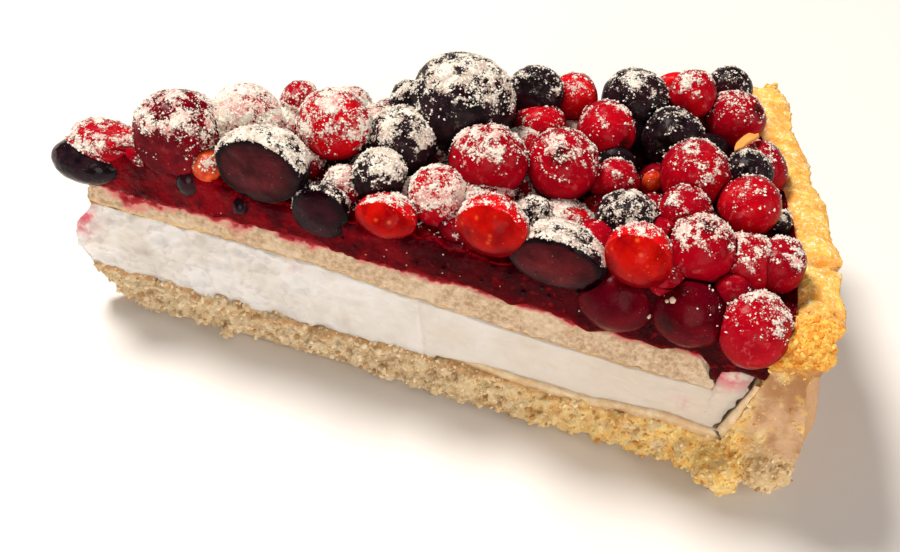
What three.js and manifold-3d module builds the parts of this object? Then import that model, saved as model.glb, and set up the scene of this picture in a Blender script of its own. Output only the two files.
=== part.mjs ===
// A slice of a berry tart, in millimetres, +Z up.
// A straight-sided shortcrust shell holds a pale lining, a set white cream, a thin sponge and a red jelly
// with currants and blueberries in it and heaped on it.
// Inside the slice a point is (along, behind, height): along the front knife cut from the tip, behind that
// cut, and above the table. The whole is then turned so that +X runs down the middle of the slice.
import * as THREE from "three";
import { mergeVertices } from "three/addons/utils/BufferGeometryUtils.js";
import Module from "manifold-3d";

const wasm = await Module();
wasm.setup();

// Driving dimensions
const TART_RADIUS = 119.5;
const SLICE_ANGLE = THREE.MathUtils.degToRad(30);
const RIM_TOP = 31.6;
const RIM_INSIDE = 113.4;
const RIM_CROWN = 0.8;
const FLOOR_END = 108.6;
const FLOOR_THICKNESS = 7.5;
const FOOT_RADIUS = 118.5;
const LINING_START = 62;
const LINING_THICKNESS = 1.5;
const LINING_TOP = 21.5;
const CREAM_TOP_AT_TIP = 20.6;
const CREAM_TOP_AT_RIM = 17.6;
const CREAM_BANK_TOP = 22.8;
const SPONGE_START = 2.8;
const SPONGE_END = 105;
const SPONGE_TOP = 25.6;
const JELLY_START = 1.6;
const JELLY_TOP = 31.6;
const GAP = 0.3;

// How finely the slice is divided: along the cut, round the arc and through a layer
const STATION_SPACING = 4.8;
const ARC_STEPS = 6;
const CRUST_ARC_STEPS = 10;
const CRUST_DEPTH_STEPS = 4;
const WALL_STEPS = 6;

// A repeatable number from 0 to 1 for each whole-number triple
function chance(i, j = 0, k = 0) {
  const s = Math.sin(i * 127.1 + j * 311.7 + k * 74.7) * 43758.5453;
  return s - Math.floor(s);
}

// Smooth waves of about one unit high, for surfaces that no mould made flat
function ripple(x, y, seed = 0) {
  const a = Math.sin(x * 0.31 + y * 0.17 + seed);
  const b = Math.sin(x * 0.13 - y * 0.29 + seed * 2.3);
  const c = Math.sin(x * 0.71 + y * 0.53 + seed * 4.1);
  return (a + b + 0.5 * c) / 2.5;
}

// The same waves on the slice, level at the very tip so that all the layers end in one edge there
const wavesOnSlice = (r, round, seed) => ripple(r, round * 18, seed) * Math.min(1, r / 6);

const mix = (from, to, share) => from + (to - from) * share;
const ease = (x) => THREE.MathUtils.smoothstep(x, 0, 1);

// Point of the slice at a radius, a share of the way round from the front cut, and a height
function onSlice(radius, round, height) {
  const angle = round * SLICE_ANGLE;
  return [radius * Math.cos(angle), radius * Math.sin(angle), height];
}

// A closed mesh as a solid: shared corners are merged and flat triangles dropped
function solidFrom(positions, triangles) {
  const raw = new THREE.BufferGeometry();
  raw.setAttribute("position", new THREE.Float32BufferAttribute(positions, 3));
  raw.setIndex(triangles);
  const merged = mergeVertices(raw, 1e-4);
  const index = merged.index.array;
  const kept = [];
  for (let t = 0; t < index.length; t += 3) {
    const [a, b, c] = index.subarray(t, t + 3);
    if (a !== b && b !== c && c !== a) kept.push(a, b, c);
  }
  const vertProperties = merged.attributes.position.array;
  const triVerts = new Uint32Array(kept);
  return new wasm.Manifold(new wasm.Mesh({ numProp: 3, vertProperties, triVerts }));
}

// The skin of a block of points at(i, j, k), with i outwards, j upwards and k round from the front cut
function blockSolid(ni, nj, nk, at) {
  const positions = [];
  const triangles = [];
  const number = (i, j, k) => (i * (nj + 1) + j) * (nk + 1) + k;
  for (let i = 0; i <= ni; i++)
    for (let j = 0; j <= nj; j++) for (let k = 0; k <= nk; k++) positions.push(...at(i, j, k));
  const quad = (a, b, c, d, turned) => {
    triangles.push(...(turned ? [a, c, b, a, d, c] : [a, b, c, a, c, d]));
  };
  for (let i = 0; i < ni; i++)
    for (let j = 0; j < nj; j++)
      for (const k of [0, nk])
        quad(number(i, j, k), number(i + 1, j, k), number(i + 1, j + 1, k), number(i, j + 1, k), k > 0);
  for (let i = 0; i < ni; i++)
    for (let k = 0; k < nk; k++)
      for (const j of [0, nj])
        quad(number(i, j, k), number(i, j, k + 1), number(i + 1, j, k + 1), number(i + 1, j, k), j > 0);
  for (let j = 0; j < nj; j++)
    for (let k = 0; k < nk; k++)
      for (const i of [0, ni])
        quad(number(i, j, k), number(i, j + 1, k), number(i, j + 1, k + 1), number(i, j, k + 1), i > 0);
  return solidFrom(positions, triangles);
}

// The largest body of a cut solid, without loose scraps
function largest(solid) {
  const bodies = solid.decompose().sort((a, b) => b.volume() - a.volume());
  return bodies[0];
}

// An uneven egg of the given radii, with its flatter or pulled-out end where the dried flower was
function egg(place, radii, detail, seed = 0, roughness = 0.03) {
  const geometry = new THREE.IcosahedronGeometry(1, detail);
  geometry.deleteAttribute("normal");
  geometry.deleteAttribute("uv");
  const merged = mergeVertices(geometry, 1e-4);
  const p = merged.attributes.position;
  const turn = new THREE.Euler(seed * 1.7, seed * 2.9, seed * 0.6);
  const v = new THREE.Vector3();
  for (let n = 0; n < p.count; n++) {
    v.fromBufferAttribute(p, n);
    v.multiplyScalar(1 + roughness * (chance(n, Math.round(seed * 10)) - 0.5) * 2);
    v.applyEuler(turn);
    p.setXYZ(n, v.x * radii[0] + place[0], v.y * radii[1] + place[1], v.z * radii[2] + place[2]);
  }
  return solidFrom([...p.array], [...merged.index.array]);
}

// Heights of the layers at a distance along and behind the cut
function stations(from, to) {
  const count = Math.max(2, Math.round((to - from) / STATION_SPACING));
  return Array.from({ length: count + 1 }, (_, i) => mix(from, to, i / count));
}
const floorTop = (r, round) =>
  FLOOR_THICKNESS - 0.9 * Math.exp(-(((r - 30) / 14) ** 2)) + 0.7 * Math.exp(-(((r - 101) / 8) ** 2)) +
  0.3 * wavesOnSlice(r, round, 3);
const creamTop = (r, round) =>
  mix(CREAM_TOP_AT_TIP, CREAM_TOP_AT_RIM, ease((r - 30) / 60)) + 0.25 * wavesOnSlice(r, round, 7);
const spongeTop = (r, round) =>
  SPONGE_TOP + 1.1 * Math.exp(-(((r - 34) / 13) ** 2)) - 1.2 * ease((r - 66) / 20) +
  0.9 * Math.exp(-(((r - 101) / 4) ** 2)) + 0.4 * wavesOnSlice(r * 1.4, round, 11);
const jellyTop = (r, round) => JELLY_TOP + 0.7 * wavesOnSlice(r * 1.2, round, 5);

// The shell's inner face leans out from the floor to the rim
const wallInside = (height) => mix(FLOOR_END, RIM_INSIDE, (height - FLOOR_THICKNESS) / (RIM_TOP - FLOOR_THICKNESS));

// The shell's outer face from the foot to the lip: it bellies low down and narrows under the lip
const wallOutside = new THREE.SplineCurve([
  new THREE.Vector2(FOOT_RADIUS, 0),
  new THREE.Vector2(FOOT_RADIUS + 1.6, 4),
  new THREE.Vector2(FOOT_RADIUS + 2.0, 11),
  new THREE.Vector2(FOOT_RADIUS - 0.6, 23),
  new THREE.Vector2(TART_RADIUS + 0.4, RIM_TOP - 0.6),
]);

// Crust: floor and wall in one, fluted outside, crumbly where the knife went through
const FLUTES = 5;
const FLUTE_DEPTH = 0.6;
const WALL_SWAY = 0.8;
const CRAG = 0.75;
const LEDGE = 0.7;
const CHIP = 3.4;

function fluting(round, height) {
  const flute = FLUTE_DEPTH * Math.cos(2 * Math.PI * FLUTES * (round - 0.12));
  const sway = WALL_SWAY * Math.cos(2 * Math.PI * (round - 0.2) * 0.95);
  return (flute + sway) * ease(height / 10);
}

// The underside broke away at the tip, and the lower edge of a cut crumbled, by distance from the tip
const TIP_WEAR = 7.2;
const TIP_WEAR_LENGTH = 12;
const tipWear = (r) => TIP_WEAR * Math.max(0, 1 - r / TIP_WEAR_LENGTH) ** 1.3;
function chipAt(r, side) {
  const wave = Math.max(0, ripple(r * 2.1, side * 9, 2.2 + side));
  const band = Math.exp(-(((r - 35) / 11) ** 2));
  return CHIP * (0.16 * wave + band * (0.7 + 0.3 * Math.sin(r * 1.3 + side)));
}

function crustBody() {
  const floor = stations(0, FLOOR_END);
  const last = floor.length - 1;
  const ni = last + WALL_STEPS;
  return blockSolid(ni, CRUST_DEPTH_STEPS, CRUST_ARC_STEPS, (i, j, k) => {
    const round = k / CRUST_ARC_STEPS;
    const share = j / CRUST_DEPTH_STEPS;
    const side = k === 0 ? 0 : 1;
    const onCut = k === 0 || k === CRUST_ARC_STEPS;
    let low;
    let high;
    if (i <= last) {
      const r = floor[i];
      const spread = ease((r - 84) / (FLOOR_END - 84)) * (FOOT_RADIUS - FLOOR_END);
      const chip = onCut ? chipAt(r, side) * (1 - ease((r - 90) / 10)) : 0;
      low = [r + spread, Math.max(tipWear(r), r > 0 ? chip : 0)];
      high = [r, floorTop(r, round)];
    } else {
      const rise = (i - last) / WALL_STEPS;
      const edge = wallOutside.getPoint(rise);
      low = [edge.x + fluting(round, edge.y), edge.y];
      const height = mix(floorTop(FLOOR_END, round), RIM_TOP - 0.4, rise);
      high = [wallInside(height), height];
    }
    const crown = i === ni ? RIM_CROWN * Math.sin(Math.PI * share) : 0;
    const point = onSlice(mix(low[0], high[0], share), round, mix(low[1], high[1], share) + crown);
    const inside = j < CRUST_DEPTH_STEPS && i > 0 && i < ni;
    if (onCut && inside) {
      const ledge = LEDGE * ease((low[0] - 40) / 20) * (1 - share) * (i <= last ? 1 : 0);
      const out = (j > 0 ? CRAG * (2 * chance(i, j, side) - 0.9) : 0) + ledge;
      const turn = side ? SLICE_ANGLE : 0;
      point[0] += out * Math.sin(turn) * (side ? -1 : 1);
      point[1] += out * Math.cos(turn) * (side ? 1 : -1);
    }
    return point;
  });
}

// Crumbs that stand out of a cut face of the crust, larger towards the corner under the rim
function crumbs(side, count) {
  return Array.from({ length: count }, (_, n) => {
    const r = mix(12, FOOT_RADIUS - 3, (n + chance(n, side, 1)) / count);
    const size = mix(1.1, 1.9, chance(n, side, 2)) * (r > 100 ? 1.2 : 1);
    const height = size + mix(0.1, FLOOR_THICKNESS - 3.4, chance(n, side, 3) ** 1.6);
    const out = size * 0.3;
    const [x, y] = onSlice(r, side, 0);
    const away = side ? [-Math.sin(SLICE_ANGLE), Math.cos(SLICE_ANGLE)] : [0, -1];
    return egg([x + away[0] * out, y + away[1] * out, height], [size * 1.3, size, size * 0.8], 0, n + side * 50, 0.2);
  });
}

// The front corner: a lump that bulges out at the foot, a broken rim end and one hanging crumb
const CORNER_LUMPS = [
  { place: [109.2, -2.6, 4.0], radii: [3.5, 3.8, 3.4] },
  { place: [104.6, -0.6, 3.4], radii: [3.2, 2.4, 2.8] },
  { place: [115.8, -0.6, 3.8], radii: [3.2, 2.8, 3.2] },
  { place: [115.4, 0.9, 30.2], radii: [2.2, 2.0, 1.7] },
  { place: [117.6, 2.0, 31.0], radii: [1.9, 2.2, 1.5] },
  { place: [114.2, 0.6, 28.2], radii: [1.6, 1.5, 1.5] },
];
const HANGING_CRUMB = { place: [26.4, -0.9, 1.4], radii: [1.1, 1.5, 1.1] };
const LUMP_DETAIL_FROM = 2.5;
const RIM_BREAKS = [
  { place: [118.6, -1.2, 33.6], radii: [5.2, 3.4, 4.2] },
  { place: [112.0, -1.6, 33.2], radii: [4.6, 3.4, 4.4] },
];
const CRUMBS_PER_CUT = 10;

function crustSolid() {
  let solid = crustBody();
  RIM_BREAKS.forEach((b, n) => (solid = solid.subtract(egg(b.place, b.radii, 1, 3 + n, 0.12))));
  const added = [...crumbs(0, CRUMBS_PER_CUT), ...crumbs(1, CRUMBS_PER_CUT)];
  CORNER_LUMPS.forEach((b, n) => {
    const detail = b.radii[0] > LUMP_DETAIL_FROM ? 1 : 0;
    added.push(egg(b.place, b.radii, detail, 7 + n, 0.14));
  });
  added.push(egg(HANGING_CRUMB.place, HANGING_CRUMB.radii, 0, 2, 0.1));
  added.forEach((crumb) => (solid = solid.add(crumb)));
  return largest(solid);
}

// A layer between two heights through a row of stations, its end following the wall if asked
function layer(rs, depthSteps, bottom, top, endAt = null, relief = 0, seed = 0) {
  const ni = rs.length - 1;
  return blockSolid(ni, depthSteps, ARC_STEPS, (i, j, k) => {
    const round = k / ARC_STEPS;
    const share = j / depthSteps;
    const low = bottom(rs[i], round);
    const height = mix(low, top(rs[i], round), share);
    const r = endAt && i === ni ? endAt(height) : rs[i];
    const point = onSlice(r, round, height);
    const onCut = (k === 0 || k === ARC_STEPS) && j > 0 && j < depthSteps && i > 0 && i < ni;
    if (onCut && relief) point[1] += relief * (chance(i, j, k + seed) - 0.5);
    return point;
  });
}

// Pale lining: a thin coat on the floor and up the wall, fading out towards the tip
const LINING_STATIONS = stations(LINING_START, FLOOR_END - GAP);
const LINING_WALL_STEPS = 3;
const coat = (r) => LINING_THICKNESS * ease((r - LINING_START + 3) / 12) + 0.25;
const wallCoat = (height) => mix(coat(FLOOR_END), 0.7, ease((height - FLOOR_THICKNESS) / 14));

function liningSolid() {
  const last = LINING_STATIONS.length - 1;
  return blockSolid(last + LINING_WALL_STEPS, 1, ARC_STEPS, (i, j, k) => {
    const round = k / ARC_STEPS;
    if (i <= last) {
      const r = LINING_STATIONS[i];
      const under = floorTop(r, round) + GAP;
      const inner = i === last ? r - coat(r) : r;
      return onSlice(j ? inner : r, round, under + (j ? coat(r) : 0));
    }
    const height = mix(FLOOR_THICKNESS + 2, LINING_TOP, (i - last) / LINING_WALL_STEPS);
    return onSlice(wallInside(height) - GAP - (j ? wallCoat(height) : 0), round, height);
  });
}

// Cream: rests on the floor and the lining, and banks up against the wall beside the sponge
const CREAM_STATIONS = [
  ...stations(0, LINING_START - 1),
  ...LINING_STATIONS.slice(0, -1),
  SPONGE_END + GAP,
  FLOOR_END - coat(FLOOR_END) - 3 * GAP,
];
function creamSolid() {
  const coatUnder = (r) => (r < LINING_START ? 0 : coat(r) + GAP);
  const bottom = (r, round) => floorTop(r, round) + GAP + coatUnder(r);
  const end = (height) => wallInside(height) - wallCoat(height) - 3 * GAP;
  const upper = (r, round) => (r > SPONGE_END + 2 * GAP ? CREAM_BANK_TOP : creamTop(r, round));
  return layer(CREAM_STATIONS, 3, bottom, upper, end);
}

// Sponge: an even sheet with rounded ends, stopping short of the wall
const SPONGE_STATIONS = [...stations(SPONGE_START, SPONGE_END - 1.5), SPONGE_END];
const spongeUnder = (r, round) => creamTop(r, round) + GAP;
function spongeUpper(r, round) {
  const fullness = Math.sqrt(Math.min(1, Math.max(0.12, (SPONGE_END - r) / 2.5)));
  return mix(spongeUnder(r, round) + 2.4, spongeTop(r, round), fullness);
}
const spongeSolid = () => layer(SPONGE_STATIONS, 3, spongeUnder, spongeUpper, null, 0.5, 1);

// Jelly: fills from the sponge to between the berries, and down beside the sponge's end
function jellySolid() {
  const under = (r, round) => (r > SPONGE_END ? CREAM_BANK_TOP + 0.4 : spongeUpper(r, round) + GAP);
  const end = (height) => wallInside(height) - GAP;
  return layer([JELLY_START, ...SPONGE_STATIONS, FLOOR_END], 2, under, jellyTop, end, 0.4, 2);
}

// The berries, front cut first. Each line says: name, place (along, behind, height),
// radii (along, behind, up), and which knife cut it (a proud one hangs out over the front cut)
const BERRIES = [
  ["dark_berry_01", [3.2, 1.2, 28.4], [5.3, 3.7, 3.4], "proud"],
  ["red_berry_01", [5.2, 3.8, 31.4], [5.5, 3.9, 2.9], "proud"],
  ["red_berry_02", [16.6, 5.2, 34.6], [7.0, 6.9, 6.7], "both"],
  ["orange_berry_01", [23.4, 2.2, 33.4], [2.7, 2.7, 2.9], "front"],
  ["dark_berry_02", [32.4, 3.0, 36.4], [7.6, 6.4, 6.0], "front"],
  ["dark_berry_03", [20.6, 1.0, 30.4], [2.4, 2.4, 2.6], "front"],
  ["dark_berry_04", [42.9, 1.8, 31.4], [4.4, 4.6, 5.2], "front"],
  ["red_berry_03", [52.7, 1.6, 33.4], [4.2, 4.2, 4.2], "front"],
  ["red_berry_04", [68.3, 2.2, 36.4], [5.5, 5.4, 5.2], "front"],
  ["dark_berry_05", [78.9, 2.6, 34.2], [6.9, 6.2, 4.8], "front"],
  ["red_berry_05", [89.4, 3.2, 36.2], [4.9, 5.0, 5.2], "front"],
  ["red_berry_06", [88.0, 1.6, 29.6], [5.2, 4.6, 5.2], "front"],
  ["red_berry_07", [98.9, 2.0, 30.2], [5.1, 4.6, 5.1], "front"],
  ["red_berry_08", [108.2, 1.6, 30.4], [5.2, 5.4, 5.4], "proud"],
  ["red_berry_09", [27.4, 10.4, 37.0], [5.5, 5.2, 5.3], "back"],
  ["red_berry_10", [32.7, 14.6, 38.6], [3.0, 3.0, 3.0], "back"],
  ["red_berry_11", [38.6, 14.2, 37.4], [5.7, 5.5, 5.5], "none"],
  ["dark_berry_06", [49.3, 6.6, 35.2], [4.4, 4.4, 4.4], "none"],
  ["red_berry_12", [58.4, 6.9, 35.2], [4.7, 4.7, 4.7], "none"],
  ["red_berry_13", [64.6, 9.4, 35.2], [5.0, 4.9, 4.9], "none"],
  ["dark_berry_07", [86.2, 11.6, 36.0], [4.8, 4.6, 4.7], "none"],
  ["red_berry_14", [94.1, 16.7, 36.0], [4.5, 4.4, 4.6], "none"],
  ["red_berry_15", [97.9, 9.0, 35.2], [5.3, 5.2, 5.2], "none"],
  ["red_berry_16", [104.2, 10.8, 33.8], [4.8, 4.6, 4.7], "none"],
  ["red_berry_17", [109.2, 12.2, 33.8], [3.9, 4.2, 4.2], "none"],
  ["dark_berry_08", [107.8, 24.0, 32.4], [2.8, 2.8, 2.9], "none"],
  ["red_berry_18", [103.2, 21.8, 36.0], [5.1, 5.0, 5.0], "none"],
  ["dark_berry_09", [102.0, 30.6, 35.0], [4.0, 3.8, 3.9], "none"],
  ["red_berry_19", [103.6, 35.4, 34.6], [4.9, 4.7, 4.9], "none"],
  ["red_berry_20", [94.2, 23.4, 37.0], [5.6, 5.4, 5.5], "none"],
  ["orange_berry_02", [87.8, 23.2, 35.0], [1.7, 1.7, 1.9], "none"],
  ["red_berry_21", [82.5, 20.2, 35.2], [4.1, 4.0, 4.1], "none"],
  ["red_berry_22", [74.6, 17.0, 38.0], [5.8, 5.6, 5.6], "none"],
  ["red_berry_23", [63.4, 15.3, 37.4], [5.8, 5.4, 5.6], "none"],
  ["red_berry_24", [77.9, 7.4, 34.2], [5.4, 4.4, 5.0], "none"],
  ["dark_berry_10", [49.3, 16.4, 37.0], [5.6, 5.4, 5.4], "none"],
  ["dark_berry_11", [56.0, 24.4, 39.4], [8.4, 7.8, 7.6], "none"],
  ["dark_berry_12", [48.0, 24.0, 37.6], [3.6, 3.6, 3.7], "none"],
  ["dark_berry_13", [65.9, 33.0, 37.8], [4.8, 4.6, 4.7], "none"],
  ["red_berry_25", [72.0, 35.6, 38.0], [4.2, 4.1, 4.2], "none"],
  ["red_berry_26", [68.3, 29.4, 36.0], [4.6, 4.4, 4.5], "none"],
  ["red_berry_27", [78.7, 30.0, 37.2], [5.0, 4.8, 4.9], "none"],
  ["dark_berry_14", [81.4, 39.4, 36.4], [5.8, 5.5, 5.6], "none"],
  ["dark_berry_15", [89.2, 32.4, 37.0], [5.1, 5.0, 5.0], "none"],
  ["red_berry_28", [90.0, 43.8, 37.2], [4.4, 4.3, 4.4], "none"],
  ["red_berry_29", [87.2, 46.4, 36.4], [3.8, 3.6, 3.8], "back"],
  ["dark_berry_16", [95.4, 49.0, 36.4], [4.0, 4.0, 4.0], "none"],
  ["red_berry_30", [97.7, 42.8, 36.2], [5.0, 4.8, 4.9], "none"],
  ["red_berry_31", [36.6, 18.6, 30.8], [4.6, 4.4, 4.6], "back"],
  ["dark_berry_17", [53.6, 28.8, 30.2], [4.4, 4.4, 4.2], "back"],
  ["red_berry_32", [75.0, 40.8, 30.6], [4.6, 4.4, 4.6], "back"],
  ["dark_berry_18", [92.4, 51.4, 30.0], [4.2, 4.2, 4.2], "back"],
];

// A berry is kept inside the wall, above the sponge and, unless a knife went through it, between the cuts
function confine(berry) {
  const { centre, radii, cut } = berry;
  const widest = Math.max(radii[0], radii[1]);
  const round = Math.atan2(centre.y, centre.x) / SLICE_ANGLE;
  const distance = Math.hypot(centre.x, centre.y);
  centre.z = Math.max(centre.z, spongeTop(distance, round) + 2 * GAP + radii[2]);
  if (centre.z - radii[2] < RIM_TOP + RIM_CROWN + GAP) {
    const room = wallInside(Math.min(centre.z, RIM_TOP)) - widest - 2 * GAP;
    if (distance > room) centre.multiply(new THREE.Vector3(room / distance, room / distance, 1));
  }
  if (cut === "front" || cut === "both" || cut === "proud") return;
  centre.y = Math.max(centre.y, radii[1] + GAP);
  if (cut === "back") return;
  const behind = centre.y * Math.cos(SLICE_ANGLE) - centre.x * Math.sin(SLICE_ANGLE) + widest;
  if (behind > 0) {
    centre.x += behind * Math.sin(SLICE_ANGLE);
    centre.y -= behind * Math.cos(SLICE_ANGLE);
  }
}

// Neighbours that press into each other give way a little, the ones at the front cut least,
// and each is drawn back to where it lies
const SETTLE_ROUNDS = 60;
const GIVE = 0.6;
const DRAW_BACK = 0.11;
function settle(berries) {
  const apart = new THREE.Vector3();
  for (let round = 0; round < SETTLE_ROUNDS; round++) {
    for (const [n, a] of berries.entries())
      for (const b of berries.slice(n + 1)) {
        apart.subVectors(b.centre, a.centre);
        const overlap = reachOf(a, apart) + reachOf(b, apart) + GAP - apart.length();
        if (overlap <= 0) continue;
        apart.setLength((GIVE * overlap) / (a.hold + b.hold));
        a.centre.addScaledVector(apart, -b.hold);
        b.centre.addScaledVector(apart, a.hold);
      }
    berries.forEach((berry) => {
      berry.centre.lerp(berry.home, DRAW_BACK * berry.hold);
      confine(berry);
    });
  }
  return slim(berries);
}

// A slight touch that is left is taken off both sizes; deeper ones are cut to fit each other
const SLIGHT = 0.9;
function slim(berries) {
  const apart = new THREE.Vector3();
  for (const [n, a] of berries.entries())
    for (const b of berries.slice(n + 1)) {
      apart.subVectors(b.centre, a.centre);
      const overlap = reachOf(a, apart) + reachOf(b, apart) + GAP - apart.length();
      if (overlap <= 0 || overlap > SLIGHT) continue;
      for (const c of [a, b]) {
        const share = 1 - overlap / 2 / reachOf(c, apart);
        c.radii = c.radii.map((r) => r * share);
      }
    }
  return berries;
}

// Radius of a berry towards a direction
function reachOf(berry, direction) {
  const d = direction.clone().normalize();
  return 1 / Math.hypot(d.x / berry.radii[0], d.y / berry.radii[1], d.z / berry.radii[2]);
}

const berries = settle(
  BERRIES.map(([name, place, radii, cut]) => ({
    name,
    detail: radii[0] > 6 ? 2 : 1,
    radii,
    cut,
    centre: new THREE.Vector3(...place),
    home: new THREE.Vector3(...place),
    hold: cut === "none" || cut === "back" ? 1 : 6,
  })),
);

// Half of space beyond a knife cut, as a block
function beyondCut(side) {
  const block = new THREE.BoxGeometry(400, 100, 200);
  block.translate(100, side ? 50 : -50, 0);
  if (side) block.rotateZ(SLICE_ANGLE);
  return solidFrom([...block.attributes.position.array], [...block.index.array]);
}
const frontKnife = beyondCut(0);
const backKnife = beyondCut(1);

const grown = (b, by) =>
  egg(b.centre.toArray(), b.radii.map((r) => r + by), b.detail, b.centre.x, 0.012);

const crust = crustSolid();
const shapes = [];
const placed = [];
berries.forEach((b) => {
  let solid = grown(b, 0);
  if (b.cut === "front" || b.cut === "both") solid = solid.subtract(frontKnife);
  if (b.cut === "back" || b.cut === "both") solid = solid.subtract(backKnife);
  placed.forEach((other) => {
    if (other.centre.distanceTo(b.centre) < 18) solid = solid.subtract(grown(other, GAP));
  });
  placed.push(b);
  shapes.push([b.name, largest(solid)]);
});

let jelly = jellySolid();
berries.forEach((b) => (jelly = jelly.subtract(grown(b, GAP))));
CORNER_LUMPS.forEach(({ place, radii }) => {
  const room = radii.map((r) => r * 1.3 + GAP);
  if (place[2] > SPONGE_TOP) jelly = jelly.subtract(egg(place, room, 0));
});

// Looks
const look = (color, roughness) => new THREE.MeshStandardMaterial({ color, roughness, metalness: 0 });
const LOOKS = {
  crust: look(0xd8a55c, 0.85),
  lining: look(0xf0dcc4, 0.6),
  cream: look(0xe9e2da, 0.6),
  sponge: look(0xcdb494, 0.95),
  jelly: look(0x5c0410, 0.2),
  red_berry: look(0xb0101c, 0.35),
  dark_berry: look(0x1c1016, 0.5),
  orange_berry: look(0xe0702c, 0.35),
};

const slice = new THREE.Group();
function addNode(name, solid) {
  const made = solid.getMesh();
  const geometry = new THREE.BufferGeometry();
  geometry.setAttribute("position", new THREE.BufferAttribute(new Float32Array(made.vertProperties), 3));
  geometry.setIndex(new THREE.BufferAttribute(new Uint32Array(made.triVerts), 1));
  const mesh = new THREE.Mesh(geometry, LOOKS[name] ?? LOOKS[name.replace(/_\d+$/, "")]);
  mesh.name = name;
  slice.add(mesh);
}
addNode("crust", crust);
addNode("lining", liningSolid());
addNode("cream", creamSolid());
addNode("sponge", spongeSolid());
addNode("jelly", largest(jelly));
shapes.forEach(([name, solid]) => addNode(name, solid));

// Turned so that the middle of the slice lies along X, and stood with its box centred on the origin
slice.rotation.z = -SLICE_ANGLE / 2;
const tart = new THREE.Group();
tart.add(slice);
tart.updateMatrixWorld(true);
const box = new THREE.Box3().setFromObject(tart, true);
const centre = box.getCenter(new THREE.Vector3());
slice.position.set(-centre.x, -centre.y, 0);

export default tart;
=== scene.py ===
# %% [markdown]
# # A slice of berry tart
# A shortcrust shell holds a pale lining, a white cream, a thin sponge and a red jelly heaped with currants
# and blueberries under icing sugar. The solids give sizes and places. This file dresses them one by one, so
# the first step loads the solids and gives a way to read the box of each.
# %% Load the frame
from math import cos, pi, radians, sin

import bmesh
import bpy
import numpy as np
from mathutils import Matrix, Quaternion, Vector


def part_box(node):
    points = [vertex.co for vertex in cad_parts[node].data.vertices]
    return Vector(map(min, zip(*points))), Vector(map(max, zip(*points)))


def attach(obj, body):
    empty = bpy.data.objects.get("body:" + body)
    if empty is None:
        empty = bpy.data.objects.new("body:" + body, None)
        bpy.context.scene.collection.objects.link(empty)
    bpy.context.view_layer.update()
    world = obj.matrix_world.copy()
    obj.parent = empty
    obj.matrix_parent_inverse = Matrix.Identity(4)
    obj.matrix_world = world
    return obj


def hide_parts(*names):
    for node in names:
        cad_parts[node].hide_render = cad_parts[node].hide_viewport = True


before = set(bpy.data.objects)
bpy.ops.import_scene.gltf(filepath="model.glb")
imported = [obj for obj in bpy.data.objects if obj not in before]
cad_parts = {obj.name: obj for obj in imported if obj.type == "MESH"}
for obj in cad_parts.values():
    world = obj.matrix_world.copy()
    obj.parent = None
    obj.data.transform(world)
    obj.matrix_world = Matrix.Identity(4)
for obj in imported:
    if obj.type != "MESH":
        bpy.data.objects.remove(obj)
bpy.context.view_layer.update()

print("solids loaded:", len(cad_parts))

# %% [markdown]
# Every layer follows the same three directions: along the front knife cut from the tip, behind that cut, and
# up. Working in millimetres in these directions keeps the numbers readable. One function turns them into the
# metres of the frame, whose X axis runs down the middle of the slice, and one turns them back.
# %% Directions of the slice
MM = 0.001
ANGLE = radians(30)
HALF = ANGLE / 2
low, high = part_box("cream")
TIP = np.array([low[0], (low[1] + high[1]) / 2, 0])


def to_frame(points):
    p = np.asarray(points, float)
    x = p[..., 0] * cos(HALF) + p[..., 1] * sin(HALF)
    y = -p[..., 0] * sin(HALF) + p[..., 1] * cos(HALF)
    return np.stack([x, y, p[..., 2]], -1) * MM + TIP


def to_slice(points):
    p = (np.asarray(points, float) - TIP) / MM
    along = p[..., 0] * cos(HALF) - p[..., 1] * sin(HALF)
    behind = p[..., 0] * sin(HALF) + p[..., 1] * cos(HALF)
    return np.stack([along, behind, p[..., 2]], -1)


print("tip of the slice at", np.round(TIP / MM, 2))

# %% [markdown]
# The camera looks down on the front cut from about forty degrees, close enough for the rim end to look
# larger than the tip, and it is tilted a little. A real camera is set by place, direction and lens, so the
# same three are given here: a target, two angles with a distance, and the lens.
# %% Camera
TARGET = to_frame((59.5, 15.0, 11.7))
TURN, RISE, TILT = radians(-1.55), radians(43.31), radians(6.05)
DISTANCE = 221.3 * MM
SENSOR, LENS_PER_SENSOR = 36, 1.48
forward = Vector((-sin(TURN) * cos(RISE), cos(TURN) * cos(RISE), -sin(RISE)))
camera = bpy.data.objects.new("camera", bpy.data.cameras.new("camera"))
bpy.context.collection.objects.link(camera)
camera.location = Vector(TARGET) - forward * DISTANCE
camera.rotation_mode = "QUATERNION"
camera.rotation_quaternion = (-forward).to_track_quat("Z", "Y") @ Quaternion((0, 0, 1), TILT)
camera.data.sensor_width = SENSOR
camera.data.lens = LENS_PER_SENSOR * SENSOR
camera.data.clip_start = 0.01
bpy.context.scene.camera = camera
view_turn = camera.rotation_quaternion
EYE_RIGHT, EYE_UP, TO_EYE = (np.array(view_turn @ Vector(axis)) for axis in ((1, 0, 0), (0, 1, 0), (0, 0, 1)))
print("lens", round(camera.data.lens, 1), "mm")

# %% [markdown]
# Nothing baked is even. Crumbs, wrinkles and sugar all need randomness that is the same on every run, so
# three kinds are made from whole numbers: a smooth one, a sum of smooth ones at finer and finer sizes, and
# a cell pattern for crumbs and pores.
# %% Noise
PRIMES = (73856093, 19349663, 83492791)
SEED_STEP, FIRST_MIX, SECOND_MIX, ALL_BITS = 2654435761, 1274126177, 1540483477, 0xFFFFFFFF


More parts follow.
